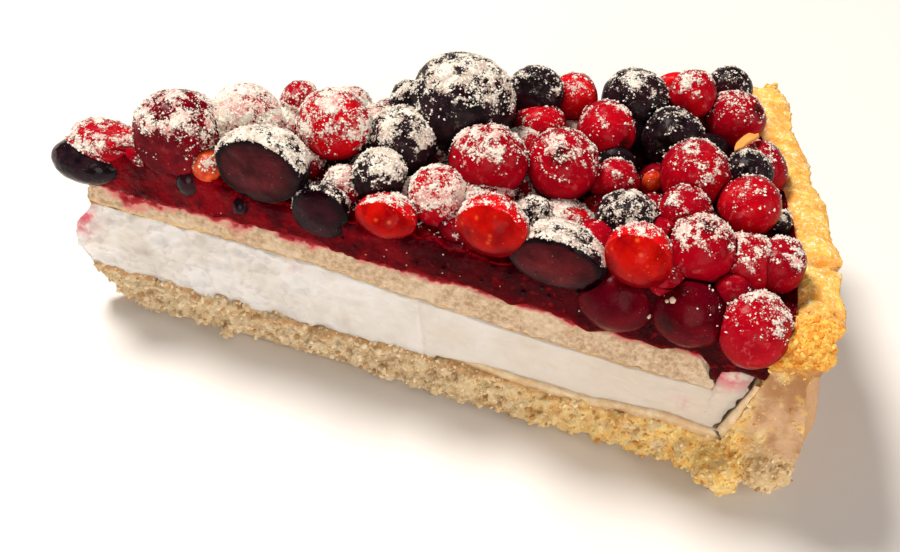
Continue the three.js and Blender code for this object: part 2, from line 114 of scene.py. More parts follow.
def hashed(ix, iy, iz, seed):
    """A number from 0 to 1 for each whole-number place"""
    a, b, c = (i.astype(np.int64) * prime for i, prime in zip((ix, iy, iz), PRIMES))
    n = (a ^ b ^ c ^ (seed * SEED_STEP)) & ALL_BITS
    n = (n ^ (n >> 15)) * FIRST_MIX & ALL_BITS
    n = (n ^ (n >> 13)) * SECOND_MIX & ALL_BITS
    return (n ^ (n >> 16)) / ALL_BITS


def smooth_noise(p, size, seed=0):
    q = np.asarray(p, float) / size
    i = np.floor(q).astype(np.int64)
    f = q - i
    f = f * f * (3 - 2 * f)
    total = 0
    for corner in np.ndindex(2, 2, 2):
        w = 1
        for axis, d in enumerate(corner):
            w = w * (f[..., axis] if d else 1 - f[..., axis])
        total = total + w * hashed(*(i[..., axis] + d for axis, d in enumerate(corner)), seed)
    return total


def rough_noise(p, size, seed=0, octaves=3):
    total, weight, norm = 0, 1.0, 0
    for n in range(octaves):
        total = total + weight * smooth_noise(p, size / 2**n, seed + 17 * n)
        norm += weight
        weight *= 0.55
    return total / norm


def cell_noise(p, size, seed=0):
    """Distance to the nearest of one random point per cell, 0 at the point, about 1 between points"""
    q = np.asarray(p, float) / size
    i = np.floor(q).astype(np.int64)
    best = np.full(q.shape[:-1], 9.0)
    for step in np.ndindex(3, 3, 3):
        c = [i[..., axis] + d - 1 for axis, d in enumerate(step)]
        d = 0
        for axis in range(3):
            d = d + (c[axis] + hashed(*c, seed + 5 + axis) - q[..., axis]) ** 2
        best = np.minimum(best, d)
    return np.sqrt(best)


print("noise ready")

# %% [markdown]
# Four more shapes of curve turn up all the time: a soft step, a mix of two values, a bell, and slow waves
# for surfaces that no mould made flat.
# %% Curves
def ease(x):
    x = np.clip(x, 0, 1)
    return x * x * (3 - 2 * x)


def mix(a, b, share):
    return a + (b - a) * share


def bell(r, middle, width):
    return np.exp(-(((r - middle) / width) ** 2))


def ripple(x, y, seed):
    a = np.sin(x * 0.31 + y * 0.17 + seed)
    b = np.sin(x * 0.13 - y * 0.29 + seed * 2.3)
    c = np.sin(x * 0.71 + y * 0.53 + seed * 4.1)
    return (a + b + 0.5 * c) / 2.5


def waves(r, turn, seed):
    return ripple(r, turn * 18, seed) * np.minimum(1, r / 6)


print("half way up a soft step:", ease(0.5))

# %% [markdown]
# A mesh is a list of points and the faces between them. Writing both straight from arrays is fast enough for
# surfaces of a hundred thousand faces. Each piece is then tied to the body of the slice, the solid it stands
# for is hidden, and it is given its finish. Extra values per point, such as how sugared a spot is, go along
# as named attributes that the materials read.
# %% Meshes from arrays
def new_mesh(name, points, faces):
    corners = faces.astype(np.int32).ravel()
    mesh = bpy.data.meshes.new(name)
    mesh.vertices.add(len(points))
    mesh.vertices.foreach_set("co", np.asarray(points, np.float32).ravel())
    mesh.loops.add(len(corners))
    mesh.loops.foreach_set("vertex_index", corners)
    mesh.polygons.add(len(faces))
    mesh.polygons.foreach_set("loop_start", np.arange(0, len(corners), faces.shape[1], dtype=np.int32))
    mesh.update(calc_edges=True)
    mesh.validate()
    return mesh


def piece(name, points, faces, finish, node=None, smooth=True, values=None):
    """A visible piece from points in slice millimetres"""
    mesh = new_mesh(name, to_frame(points), faces)
    mesh.polygons.foreach_set("use_smooth", np.full(len(mesh.polygons), smooth))
    for key, array in (values or {}).items():
        mesh.attributes.new(key, "FLOAT", "POINT").data.foreach_set("value", np.asarray(array, np.float32))
    mesh.materials.append(finish.material)
    obj = bpy.data.objects.new(name, mesh)
    bpy.context.collection.objects.link(obj)
    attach(obj, "root")
    if node:
        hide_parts(node)


def skin(P):
    """The outer faces of a block of points P[i, j, k], with i outwards, j upwards and k round"""
    ni, nj, nk = P.shape[0] - 1, P.shape[1] - 1, P.shape[2] - 1
    number = np.arange(P.shape[0] * P.shape[1] * P.shape[2]).reshape(P.shape[:3])
    quads = []

    def side(a, b, c, d, turned):
        q = np.stack([a.ravel(), b.ravel(), c.ravel(), d.ravel()], 1)
        quads.append(q[:, ::-1] if turned else q)

    for k in (0, nk):
        n = number[:, :, k]
        side(n[:-1, :-1], n[1:, :-1], n[1:, 1:], n[:-1, 1:], k > 0)
    for j in (0, nj):
        n = number[:, j, :]
        side(n[:-1, :-1], n[:-1, 1:], n[1:, 1:], n[1:, :-1], j > 0)
    for i in (0, ni):
        n = number[i]
        side(n[:-1, :-1], n[1:, :-1], n[1:, 1:], n[:-1, 1:], i == 0)
    quads = np.concatenate(quads)
    used, packed = np.unique(quads, return_inverse=True)
    return P.reshape(-1, 3)[used], packed.reshape(quads.shape)


print("mesh helpers ready")

# %% [markdown]
# Crumbs, seeds and lumps all start as small balls. Thousands of them are turned, stretched and dented at
# random, and joined in one mesh, which is far quicker to show than as many objects.
# %% Balls and lumps
def ball(detail):
    bm = bmesh.new()
    bmesh.ops.create_icosphere(bm, subdivisions=detail, radius=1)
    points = np.array([v.co[:] for v in bm.verts])
    faces = np.array([[v.index for v in f.verts] for f in bm.faces])
    bm.free()
    return points, faces


def in_triangles(faces):
    return np.concatenate([faces[:, [0, 1, 2]], faces[:, [0, 2, 3]]]) if faces.shape[1] == 4 else faces


def gather(parts):
    """Joins (points, faces) pairs into one mesh of triangles"""
    points, faces, start = [], [], 0
    for p, f in parts:
        points.append(p)
        faces.append(in_triangles(f) + start)
        start += len(p)
    return np.concatenate(points), np.concatenate(faces)


def random_turns(n, gen):
    """A random rotation matrix for each of n things"""
    turn = gen.normal(size=(n, 4))
    turn /= np.linalg.norm(turn, axis=1, keepdims=True)
    w, x, y, z = turn.T
    rows = [(1 - 2 * (y * y + z * z), 2 * (x * y - z * w), 2 * (x * z + y * w)),
            (2 * (x * y + z * w), 1 - 2 * (x * x + z * z), 2 * (y * z - x * w)),
            (2 * (x * z - y * w), 2 * (y * z + x * w), 1 - 2 * (x * x + y * y))]
    return np.stack([np.stack(row, -1) for row in rows], 1)


def lumps(places, sizes, detail, roughness, seed):
    """Uneven round lumps, one at each place"""
    base, faces = ball(detail)
    gen = np.random.default_rng(seed)
    n = len(places)
    spin = random_turns(n, gen)
    shape = base[None] * (1 + roughness * (gen.random((n, len(base), 1)) * 2 - 1))
    shape = shape * gen.uniform(0.7, 1.25, (n, 1, 3)) * np.asarray(sizes)[:, None, None]
    points = np.einsum("nij,nvj->nvi", spin, shape) + np.asarray(places)[:, None]
    all_faces = faces[None] + (np.arange(n) * len(base))[:, None, None]
    return points.reshape(-1, 3), all_faces.reshape(-1, faces.shape[1])


print("corners of the plainest lump:", len(ball(1)[0]))

# %% [markdown]
# A finish is built from shader nodes. A small builder that adds nodes by name keeps each recipe short:
# noise for unevenness, a span to sharpen it, a blend for colours, and a bump for relief too fine to model.
# Colours are written as on a screen, from 0 to 255, and turned into the linear light a shader wants.
# %% Shader helpers
def linear(red, green, blue):
    c = np.array([red, green, blue]) / 255
    return tuple(float(v) for v in np.where(c < 0.04045, c / 12.92, ((c + 0.055) / 1.055) ** 2.4))


class Finish:
    def __init__(self, name, roughness=0.6, **sockets):
        self.material = bpy.data.materials.new(name)
        self.material.use_nodes = True
        self.tree = self.material.node_tree
        self.shader = self.tree.nodes["Principled BSDF"]
        self.shader.inputs["Roughness"].default_value = roughness
        for key, value in sockets.items():
            self.shader.inputs[key.replace("_", " ")].default_value = value
        self.place = self.add("ShaderNodeTexCoord").outputs["Object"]

    def add(self, kind, inputs=None, **settings):
        node = self.tree.nodes.new(kind)
        for key, value in settings.items():
            setattr(node, key, value)
        for key, value in (inputs or {}).items():
            self.put(node.inputs[key], value)
        return node

    def put(self, socket, value):
        if isinstance(value, bpy.types.NodeSocket):
            self.tree.links.new(value, socket)
        else:
            socket.default_value = value

    def noise(self, size_mm, detail=3.0, rough=0.6, stretch=None):
        where = self.place
        if stretch:
            where = self.add("ShaderNodeMapping", {"Vector": where, "Scale": stretch}).outputs[0]
        inputs = {"Vector": where, "Scale": 1000 / size_mm, "Detail": detail, "Roughness": rough}
        return self.add("ShaderNodeTexNoise", inputs).outputs["Fac"]

    def cells(self, size_mm):
        inputs = {"Vector": self.place, "Scale": 1000 / size_mm}
        return self.add("ShaderNodeTexVoronoi", inputs).outputs["Distance"]

    def value(self, name):
        return self.add("ShaderNodeAttribute", attribute_name=name).outputs["Fac"]

    def span(self, fac, low, high, to_low=0.0, to_high=1.0):
        inputs = {"Value": fac, "From Min": low, "From Max": high, "To Min": to_low, "To Max": to_high}
        return self.add("ShaderNodeMapRange", inputs, interpolation_type="SMOOTHSTEP").outputs[0]

    def math(self, operation, a, b):
        node = self.add("ShaderNodeMath", operation=operation)
        self.put(node.inputs[0], a)
        self.put(node.inputs[1], b)
        return node.outputs[0]

    def times(self, a, b):
        return self.math("MULTIPLY", a, b)

    def blend(self, fac, a, b):
        node = self.add("ShaderNodeMix", data_type="RGBA")
        for socket, value in zip((node.inputs[0], node.inputs[6], node.inputs[7]), (fac, a, b)):
            self.put(socket, (*linear(*value), 1) if isinstance(value, tuple) else value)
        return node.outputs[2]

    def two_tone(self, size_mm, low, high, one, other, detail=3.0, rough=0.6):
        """Two colours in an uneven pattern of the given size"""
        return self.blend(self.span(self.noise(size_mm, detail, rough), low, high), one, other)

    def spotted(self, base, spot, size_mm, low, high, amount, detail=2.0, rough=0.6, stretch=None):
        """The base colour with spots of another where a noise is high"""
        spots = self.span(self.noise(size_mm, detail, rough, stretch), low, high, 0, amount)
        return self.blend(spots, base, spot)

    def colour(self, value):
        self.put(self.shader.inputs["Base Color"], value)

    def roughness(self, value):
        self.put(self.shader.inputs["Roughness"], value)

    def bump(self, height, depth_mm, strength=1.0):
        inputs = {"Height": height, "Distance": depth_mm * MM, "Strength": strength}
        below = self.shader.inputs["Normal"]
        if below.is_linked:
            inputs["Normal"] = below.links[0].from_socket
        self.put(below, self.add("ShaderNodeBump", inputs).outputs[0])


print("middle grey as light:", round(linear(128, 128, 128)[0], 3))

# %% [markdown]
# The slice lies on a plain pale table under soft light. One warm lamp stands high at the back left, as in a
# kitchen by a window, two wider and weaker ones fill the front and the side so that the cut face stays
# readable, and the room itself gives a low even light.
# %% Floor and light
LAMP_TARGET = Vector((0, 0, 0.02))
WARM = (1.0, 0.91, 0.83)
LAMPS = {"window_lamp": ((-240, 190, 540), 180, 4.6, (1.0, 0.94, 0.86)),
         "front_fill": ((10, -620, 240), 420, 1.9, WARM),
         "side_fill": ((520, -200, 240), 300, 0.9, (1.0, 0.91, 0.82))}


def lamp(name, place_mm, size_mm, power, colour):
    light = bpy.data.lights.new(name, "AREA")
    light.shape = "DISK"
    light.size = size_mm * MM
    light.energy = power
    light.color = colour
    obj = bpy.data.objects.new(name, light)
    bpy.context.collection.objects.link(obj)
    obj.location = Vector(place_mm) * MM
    obj.rotation_mode = "QUATERNION"
    obj.rotation_quaternion = (obj.location - LAMP_TARGET).to_track_quat("Z", "Y")


for name, settings in LAMPS.items():
    lamp(name, *settings)
world = bpy.data.worlds.new("room")
bpy.context.scene.world = world
world.use_nodes = True
world.node_tree.nodes["Background"].inputs["Color"].default_value = (1.0, 0.97, 0.94, 1)
world.node_tree.nodes["Background"].inputs["Strength"].default_value = 0.15
table_finish = Finish("pale_table", 0.7)
table_finish.colour(table_finish.blend(table_finish.noise(60), (238, 236, 233), (244, 242, 240)))
bpy.ops.mesh.primitive_grid_add(x_subdivisions=8, y_subdivisions=8, size=8)
floor = bpy.context.object
floor.name = "floor"
floor.location.z = -0.0002
floor.data.materials.append(table_finish.material)
bpy.context.scene.view_settings.view_transform = "Standard"
print("lamps:", len(LAMPS))

# %% [markdown]
# The layers share their surfaces: the cream lies on the crust's floor, the sponge on the cream, the jelly on
# the sponge. These functions give the height of each at a distance from the tip and a share of the way
# round. They are those of the solids, only that the solids keep a gap between layers. Here the layers all
# but touch, because a gap would show as a dark line.
# %% Surfaces the layers share
RIM_TOP, RIM_INSIDE, RIM_CROWN = 31.6, 113.4, 0.8
FLOOR_END, FLOOR_THICKNESS, FOOT, TART_RADIUS = 108.6, 7.5, 118.5, 119.5
LINING_START, LINING_TOP, CREAM_BANK_TOP = 62, 21.5, 22.8
SPONGE_START, SPONGE_END, JELLY_START = 2.8, 105, 1.6
CREAM_AT_TIP, CREAM_AT_RIM, SPONGE_TOP, JELLY_TOP = 20.6, 17.6, 25.6, 31.6
SEAM = 0.02


def floor_top(r, turn):
    return FLOOR_THICKNESS - 0.9 * bell(r, 30, 14) + 0.7 * bell(r, 101, 8) + 0.3 * waves(r, turn, 3)


def cream_top(r, turn):
    return mix(CREAM_AT_TIP, CREAM_AT_RIM, ease((r - 30) / 60)) + 0.25 * waves(r, turn, 7)


def sponge_top(r, turn):
    swell = 1.1 * bell(r, 34, 13) - 1.2 * ease((r - 66) / 20) + 0.9 * bell(r, 101, 4)
    return SPONGE_TOP + swell + 0.4 * waves(r * 1.4, turn, 11)


def jelly_top(r, turn):
    return JELLY_TOP + 0.7 * waves(r * 1.2, turn, 5)


def wall_inside(z):
    return mix(FLOOR_END, RIM_INSIDE, (z - FLOOR_THICKNESS) / (RIM_TOP - FLOOR_THICKNESS))


def wall_outside(z):
    heights = [0, 4, 11, 17, 23, 27, RIM_TOP]
    radii = [FOOT, FOOT + 1.6, FOOT + 2.0, FOOT + 0.8, FOOT - 0.6, FOOT - 0.2, TART_RADIUS + 0.4]
    return np.interp(z, heights, radii)


def fluting(turn, z):
    flute = 0.6 * np.cos(2 * pi * 5 * (turn - 0.12))
    sway = 0.8 * np.cos(2 * pi * (turn - 0.2) * 0.95)
    return (flute + sway) * ease(z / 10)


print("height of the fruit bed:", round(float(jelly_top(np.array(60.0), 0.5)), 1), "mm")

# %% [markdown]
# The two knife cuts bound everything. A few more helpers put points on the slice, share them out across it,
# and measure how far a point lies inside either cut.
# %% The two cuts
FRONT_NORMAL = np.array([0, -1.0, 0])
BACK_NORMAL = np.array([-sin(ANGLE), cos(ANGLE), 0])
BACK_ALONG = np.array([cos(ANGLE), sin(ANGLE), 0])
UP = np.array([0, 0, 1])


def on_slice(r, turn, z):
    return np.stack(np.broadcast_arrays(r * np.cos(turn * ANGLE), r * np.sin(turn * ANGLE), z), -1)


def across(steps):
    """Shares from 0 to 1 that lie closer together near both ends"""
    s = np.linspace(0, 1, steps)
    return mix(s, (1 - np.cos(pi * s)) / 2, 0.75)


def cut_depth(p):
    """How far points lie inside the front cut and inside the back cut"""
    return p[..., 1], -(p @ BACK_NORMAL)


print("width of the slice at the rim:", round(2 * TART_RADIUS * sin(HALF), 1), "mm")

# %% [markdown]
# ## Crust
# Shortcrust breaks rather than cuts: where the knife went through, the face is sandy, with lumps standing
# out and pits between them, and the lower edge has crumbled. First comes how much is worn away: at the tip
# the underside broke off, and along each cut the lower edge is chipped, at the front as deep as in the photo.
# %% Worn edges
TIP_WEAR, TIP_BROKEN, CHIP = 7.0, 1.7, 3.4
CHIPPED = np.array([(0, 0), (20, 0.6), (26, 1.2), (29, 2.9), (34.5, 4.0), (37, 3.4), (40, 1.5), (44, 2.6),
                    (47, 4.1), (49.5, 2.2), (53, 0.6), (59, 0.1), (65, 0.8), (70, 1.0), (76, 0.1), (81, 0.7),
                    (86, 0.1), (92.4, 1.4), (96, 0.2), (101, 1.9), (104, 0), (120, 0)])


def tip_wear(r):
    return TIP_WEAR * np.maximum(0, 1 - r / 12) ** 1.3


def chip(r, side):
    """Height that has crumbled off the lower edge of the front cut (side 0) or the back cut (side 1)"""
    if side == 0:
        rough = 1.1 * (smooth_noise(np.stack([r, r * 0, r * 0], -1), 1.7, 5) - 0.4) * ease((r - 8) / 12)
        return np.maximum(0, np.interp(r, *CHIPPED.T) + rough * (1 - ease((r - 98) / 8)))
    wave = np.maximum(0, ripple(r * 2.1, side * 9, 2.2 + side))
    band = bell(r, 35, 11) * (0.7 + 0.3 * np.sin(r * 1.3 + side))
    fine = 0.5 * smooth_noise(np.stack([r, r * 0 + side * 40, r * 0], -1), 2.2, 5) * ease(r / 20)
    return (CHIP * (0.16 * wave + band) + fine) * (1 - ease((r - 90) / 10))


print("deepest chip in the front edge:", CHIPPED[:, 1].max(), "mm")

# %% [markdown]
# The plain shell is floor and wall in one bent block: rows run along the floor and then up the wall.
# %% Plain shell
def crust_shell():
    k = across(41)
    j = np.linspace(0, 1, 13)[:, None, None]
    rows = []
    for r in np.linspace(TIP_BROKEN, FLOOR_END, 150):
        spread = ease((r - 84) / (FLOOR_END - 84)) * (FOOT - FLOOR_END)
        low_z = np.full(len(k), float(tip_wear(r)))
        for end, side in ((0, 0), (-1, 1)):
            low_z[end] = max(low_z[end], float(chip(np.array(r), side)))
        rows.append(mix(on_slice(r + spread, k, low_z)[None], on_slice(r, k, floor_top(r, k))[None], j))
    for share in np.linspace(0, 1, 36)[1:]:
        z_out = share * (RIM_TOP - 0.6)
        z_in = mix(floor_top(FLOOR_END, k), RIM_TOP - 0.4, share)
        low_p = on_slice(wall_outside(z_out) + fluting(k, z_out), k, z_out)
        high_p = on_slice(wall_inside(z_in), k, z_in)
        crown = (RIM_CROWN * np.sin(pi * j) if share == 1 else 0 * j) * UP
        rows.append(mix(low_p[None], high_p[None], j) + crown)
    return skin(np.array(rows))


shell = crust_shell()
print("faces of the plain shell:", len(shell[1]))

# %% [markdown]
# Lumps could be sculpted by hand, but a couple of thousand small ones pushed into the cuts give the same
# broken look everywhere at once. A few large ones are placed one by one: the bulge at the foot of the corner,
# the broken end of the rim, and a crumb that hangs from the lower edge.
# %% Lumps on the cut
LUMPS = ((0, 1000), (1, 800))
FLOOR_LUMPS = 0.78
CORNER = [((109.2, -2.6, 4.0), (3.5, 3.8, 3.4)), ((104.6, -0.6, 3.4), (3.2, 2.4, 2.8)),
          ((115.8, -0.6, 3.8), (3.2, 2.8, 3.2)), ((115.4, 0.9, 30.2), (2.2, 2.0, 1.7)),
          ((117.6, 2.0, 31.0), (1.9, 2.2, 1.5)), ((114.2, 0.4, 28.0), (1.9, 1.6, 1.7)),
          ((115.8, 0.2, 28.0), (1.6, 1.3, 1.5)), ((118.8, 0.9, 29.2), (1.6, 1.6, 1.9)),
          ((112.6, 0.4, 26.2), (1.2, 1.2, 1.4)), ((26.4, -0.9, 1.5), (1.1, 1.5, 1.1))]
RIM_LUMPS = 240


def lump_places(side, count, gen):
    """Places and sizes of the lumps that stand out of a knife cut"""
    r = gen.uniform(6, 116, count)
    z = 0.6 + gen.random(count) ** 1.25 * 6.4
    up = gen.random(count) > FLOOR_LUMPS
    z = np.where(up, gen.uniform(1, 30, count), z)
    r = np.where(up, mix(wall_inside(z), wall_outside(z), gen.random(count)), r)
    size = (0.45 + 0.55 * gen.random(count) ** 1.4) * np.where(gen.random(count) > 0.88, 1.5, 1)
    z = np.maximum(z, np.where(r < 12, tip_wear(r) + 0.7, size * 1.3))
    z = np.where((r < 60) & ~up, np.maximum(z, chip(r, side) * 0.8 + size), z)
    ledge = 0.7 * ease((r - 40) / 20) * (1 - z / 7.5).clip(0, 1)
    depth = gen.uniform(-0.45, 0.5, count) * size + ledge * gen.uniform(0.3, 1.5, count)
    p = on_slice(r, np.full(count, side), z) + depth[:, None] * (BACK_NORMAL if side else FRONT_NORMAL)
    rough = (r < 110) | (z < 6.5) | (z > 26.5)
    return p[rough], size[rough]


gen = np.random.default_rng(5)
parts = [shell]
for side, count in LUMPS:
    places, sizes = lump_places(side, count, gen)
    parts.append(lumps(places, sizes, 1, 0.16, 20 + side))
corner_ball, corner_faces = ball(3)
for n, (place, radii) in enumerate(CORNER):
    bumpy = corner_ball * (0.82 + 0.36 * smooth_noise(corner_ball * 2.5 + n * 7, 1.0, n)[:, None])
    parts.append((bumpy * radii + place, corner_faces))
rim_r = gen.uniform(110.5, 118.5, RIM_LUMPS)
rim_turn = gen.uniform(0, 0.085, RIM_LUMPS) ** 1.15
rim_places = on_slice(rim_r, rim_turn, gen.uniform(26.5, 31.9, RIM_LUMPS))
parts.append(lumps(rim_places, gen.uniform(0.35, 1.0, RIM_LUMPS), 1, 0.2, 31))
print("lumps:", sum(count for _, count in LUMPS) + len(CORNER) + RIM_LUMPS)

# %% [markdown]
# A voxel remesh melts shell and lumps together. It leaves one closed skin that can take fine relief.
# %% Melted together
VOXEL = 0.45


def remeshed(points, faces, voxel):
    obj = bpy.data.objects.new("rough", new_mesh("rough", points, faces))
    bpy.context.collection.objects.link(obj)
    mod = obj.modifiers.new("melt", "REMESH")
    mod.mode = "VOXEL"
    mod.voxel_size = voxel
    result = obj.evaluated_get(bpy.context.evaluated_depsgraph_get()).to_mesh()
    arrays = []
    for key in ("co", "normal"):
        values = np.empty(len(result.vertices) * 3, np.float32)
        result.vertices.foreach_get(key, values)
        arrays.append(values.reshape(-1, 3).astype(float))
    quads = np.array([f.vertices[:] for f in result.polygons])
    bpy.data.objects.remove(obj)
    return *arrays, quads


points, faces = gather(parts)
crust_p, crust_n, crust_q = remeshed(points, faces, VOXEL)
print("crust faces:", len(crust_q))

# %% [markdown]
# The melted shell is too smooth, and each part of it needs its own relief. So every point is told first
# where it lies: on a broken face, on top of the rim, or outside. Two special places show in the photo: the
# crumbled corner of the rim, and below it a wall end that the knife pressed smooth.
# %% Crust zones
def crust_zones(p, n):
    """Shares from 0 to 1: broken face, top of the rim, outside of the wall"""
    front, back = cut_depth(p)
    broken = 1 - ease((np.minimum(front, back) - 0.35) / 0.9)
    rim = ease((p[:, 2] - 29.8) / 1.2) * ease((n[:, 2] + 0.1) / 0.5)
    radius = np.hypot(p[:, 0], p[:, 1])
    outside = ease((radius - 114.5) / 2) * (1 - rim) * ease((n[:, 0] ** 2 + n[:, 1] ** 2 - 0.2) / 0.4)
    return broken, rim, outside


def smooth_wall_end(p, broken):
    below_rim = 1 - ease((p[:, 2] - 25.5 - 2 * ease((p[:, 0] - 113) / 3)) / 2)
    wall_end = ease((p[:, 0] - 110) / 2.5) * ease((p[:, 2] - 6) / 3) * below_rim
    return wall_end * broken * (p[:, 1] < 3) * ease(rough_noise(p, 3.0, 15) * 2.6 - 0.35)


broken, rim, outside = crust_zones(crust_p, crust_n)
smooth_end = smooth_wall_end(crust_p, broken)
corner_crumbs = ease((8.5 - cut_depth(crust_p)[0]) / 3) * rim
broken = np.maximum(broken, corner_crumbs)
rim = rim * (1 - corner_crumbs)
print("share of the crust that is broken:", round(float(broken.mean()), 2))

# %% [markdown]
# Each point then moves along its normal: on the broken faces by a crumb pattern, on the rim by fine ridges
# that run across it, as a fluted tin leaves them, and on the outside by the slight waves of dough that
# shrank from its tin. The far end of the rim stands a little higher.
# %% Crust relief
turn = np.arctan2(crust_p[:, 1], crust_p[:, 0]) / ANGLE
radius = np.hypot(crust_p[:, 0], crust_p[:, 1])
bend = 1.6 * smooth_noise(crust_p, 5.0, 12)
ridge_place = np.stack([turn * 61 / 1.15 + 0.22 * radius + bend, radius * 0.3, radius * 0], -1)
ridges = 1 - np.abs(2 * smooth_noise(ridge_place, 1.0, 3) - 1) * 1.6 - 0.35
crumbly = (0.55 - cell_noise(crust_p, 1.6, 4)) * 0.45 + (rough_noise(crust_p, 1.1, 8, 2) - 0.5) * 0.8
soft = (rough_noise(crust_p, 3.2, 9) - 0.5) * 0.5
notch = -1.6 * bell(turn, 0.30, 0.012) * ease((radius - 114) / 3) * ease((crust_p[:, 2] - 24) / 6)
crust_p[:, 2] += 2.0 * ease((turn - 0.7) / 0.3) * ease((crust_p[:, 2] - 25) / 6.6)
move = broken * (1 - 0.93 * smooth_end) * crumbly * (1.25 + 0.35 * corner_crumbs) + notch
move = move + rim * (ridges * 0.42 + soft * 0.8) + outside * soft * 0.7
move = move * (crust_p[:, 2] > 0.35)
crust_p = crust_p + crust_n * move[:, None]
crust_p[:, 2] = np.maximum(crust_p[:, 2], 0)
print("highest point of the rim:", round(float(crust_p[:, 2].max()), 1), "mm")

# %% [markdown]
# Baking colours each part differently. The broken face is sandy grey near the tip and yellow near the rim,
# with painted shade darkening its pits brown. The pressed wall end is smooth and tan. The top of the rim is
# golden, with pale flecks on its ridges and painted shade in the grooves between them. So each colour is a
# recipe of its own, and the values per point say where it goes.
# %% Crust finish
crust_look = Finish("baked_crust", 0.85, Specular_IOR_Level=0.3)
c = crust_look
sandy = c.two_tone(2.2, 0.3, 0.7, (208, 180, 138), (244, 226, 190), 4, 0.7)
sandy = c.spotted(sandy, (146, 112, 74), 0.9, 0.56, 0.7, 0.5)
sandy = c.spotted(sandy, (240, 222, 186), 0.7, 0.6, 0.68, 0.6)
yellow = c.two_tone(1.3, 0.36, 0.64, (250, 198, 102), (255, 232, 158))
orange_crust = c.two_tone(1.0, 0.38, 0.6, (236, 148, 44), (255, 208, 98), 3, 0.7)
yellow = c.blend(c.span(c.value("yellow"), 1.0, 1.9), yellow, orange_crust)
patch = c.times(c.value("yellow"), c.span(c.noise(3.2, 2), 0.3, 0.52, 0.15, 1))
sandy = c.blend(c.math("MINIMUM", patch, 1.0), sandy, yellow)
sandy = c.blend(c.times(c.value("top_line"), 0.75), sandy, (206, 146, 78))
smooth = c.two_tone(3, 0.35, 0.65, (190, 142, 100), (224, 184, 146))
smooth = c.blend(c.span(c.value("height"), 15, 25), smooth, (176, 124, 80))
sandy = c.blend(c.times(c.value("smooth_end"), c.span(c.noise(2.0, 3), 0.3, 0.5, 0.5, 1)), sandy, smooth)
# painted shade: the pits of the broken face darkened brown
sandy = c.blend(c.times(c.value("pit"), c.span(c.noise(4.5, 2), 0.3, 0.6, 0.3, 0.8)), sandy, (150, 106, 60))
golden = c.two_tone(1.6, 0.36, 0.66, (250, 184, 76), (255, 218, 114), 4, 0.65)
# painted shade: a darker orange in the grooves between the ridges of the rim
golden = c.blend(c.span(c.value("ridge"), 0.42, 0.75, 0.42, 0), golden, (232, 148, 56))
golden = c.spotted(golden, (228, 146, 62), 5.5, 0.5, 0.75, 0.4)
golden = c.blend(c.times(c.value("inner"), 0.5), golden, (228, 140, 96))
pale = c.blend(c.noise(4.0, 3), (208, 158, 112), (226, 184, 138))
pale = c.spotted(pale, (190, 128, 74), 1.2, 0.58, 0.72, 0.6)
full = c.blend(c.value("broken"), c.blend(c.value("rim"), pale, golden), sandy)
flecks = c.times(c.value("ridge"), c.span(c.noise(0.6, 3, 0.7), 0.53, 0.62))
c.colour(c.blend(flecks, full, (255, 244, 214)))
c.bump(c.noise(0.9, 3, 0.7), 0.5, 0.8)
c.bump(c.noise(0.35, 2), 0.15, 0.8)
print("nodes in the crust's finish:", len(c.tree.nodes))

# %% [markdown]
# The values per point follow: how yellow, how deep in a pit (for the painted shade there), how near the thin
# browned line that runs along the top of the floor, on a ridge of the rim or not (off the ridges it gets
# painted shade), and how near its inner edge.
# %% Crust piece
def towards_rim(p, most):
    """How golden the broken crust is, less so at the outer foot"""
    at_foot = 0.75 * ease((p[:, 0] - 112) / 2) * ease((12 - p[:, 2]) / 3)
    return ease((p[:, 0] - 58) / 45) * most, 1 - at_foot


radius = np.hypot(crust_p[:, 0], crust_p[:, 1])
golden_share, foot_share = towards_rim(crust_p, 0.95)
yellow_corner = (golden_share + 1.15 * ease((crust_p[:, 2] - 23.5) / 4)) * foot_share
# pit: how deep a point sits in a hollow of the broken face, used as painted shade, weaker on the yellow
# corner
pit = broken * (1 - smooth_end) * ease((-0.06 - crumbly) / 0.2) * (1 - 0.85 * np.clip(yellow_corner, 0, 1))
above_floor = np.abs(crust_p[:, 2] - floor_top(crust_p[:, 0], 0.0) + 0.3)
piece("crust_look", crust_p, crust_q, crust_look, node="crust",
      values={"broken": broken, "rim": rim, "yellow": yellow_corner, "smooth_end": smooth_end, "pit": pit,
              "top_line": broken * ease(1 - above_floor / 0.8) * (crust_p[:, 0] < 106),
              "ridge": np.clip(rim * ease((ridges - 0.2) / 0.35) + 0.42 * rim, 0, 1),
              "inner": rim * ease((114.6 - radius) / 1.5), "height": crust_p[:, 2]})
print("crust points:", len(crust_p))

# %% [markdown]
# A knife cut through shortcrust is covered with loose crumbs from dust to the size of a grain of rice. The
# melted skin cannot hold such small edges, so a few thousand little stones are strewn over the broken faces
# of the mesh itself, a few more of them on the corner of the rim, half pressed in, each with its own shade.
# %% Strewn stones
CORNERS = np.array([[1, 0, 0], [-1, 0, 0], [0, 1, 0], [0, -1, 0], [0, 0, 1], [0, 0, -1]], float)
STONE_FACES = np.array([[0, 2, 4], [2, 1, 4], [1, 3, 4], [3, 0, 4],
                        [2, 0, 5], [1, 2, 5], [3, 1, 5], [0, 3, 5]])


def strewn(p, faces, weight, count, gen):
    """Random places on a mesh of triangles, more of them where the weight is high"""
    a, b, c = p[faces[:, 0]], p[faces[:, 1]], p[faces[:, 2]]
    area = np.linalg.norm(np.cross(b - a, c - a), axis=1) * weight[faces].mean(1)
    pick = gen.choice(len(faces), count, p=area / area.sum())
    u, v = gen.random(count), gen.random(count)
    flip = u + v > 1
    u[flip], v[flip] = 1 - u[flip], 1 - v[flip]
    return a[pick] + (b[pick] - a[pick]) * u[:, None] + (c[pick] - a[pick]) * v[:, None]


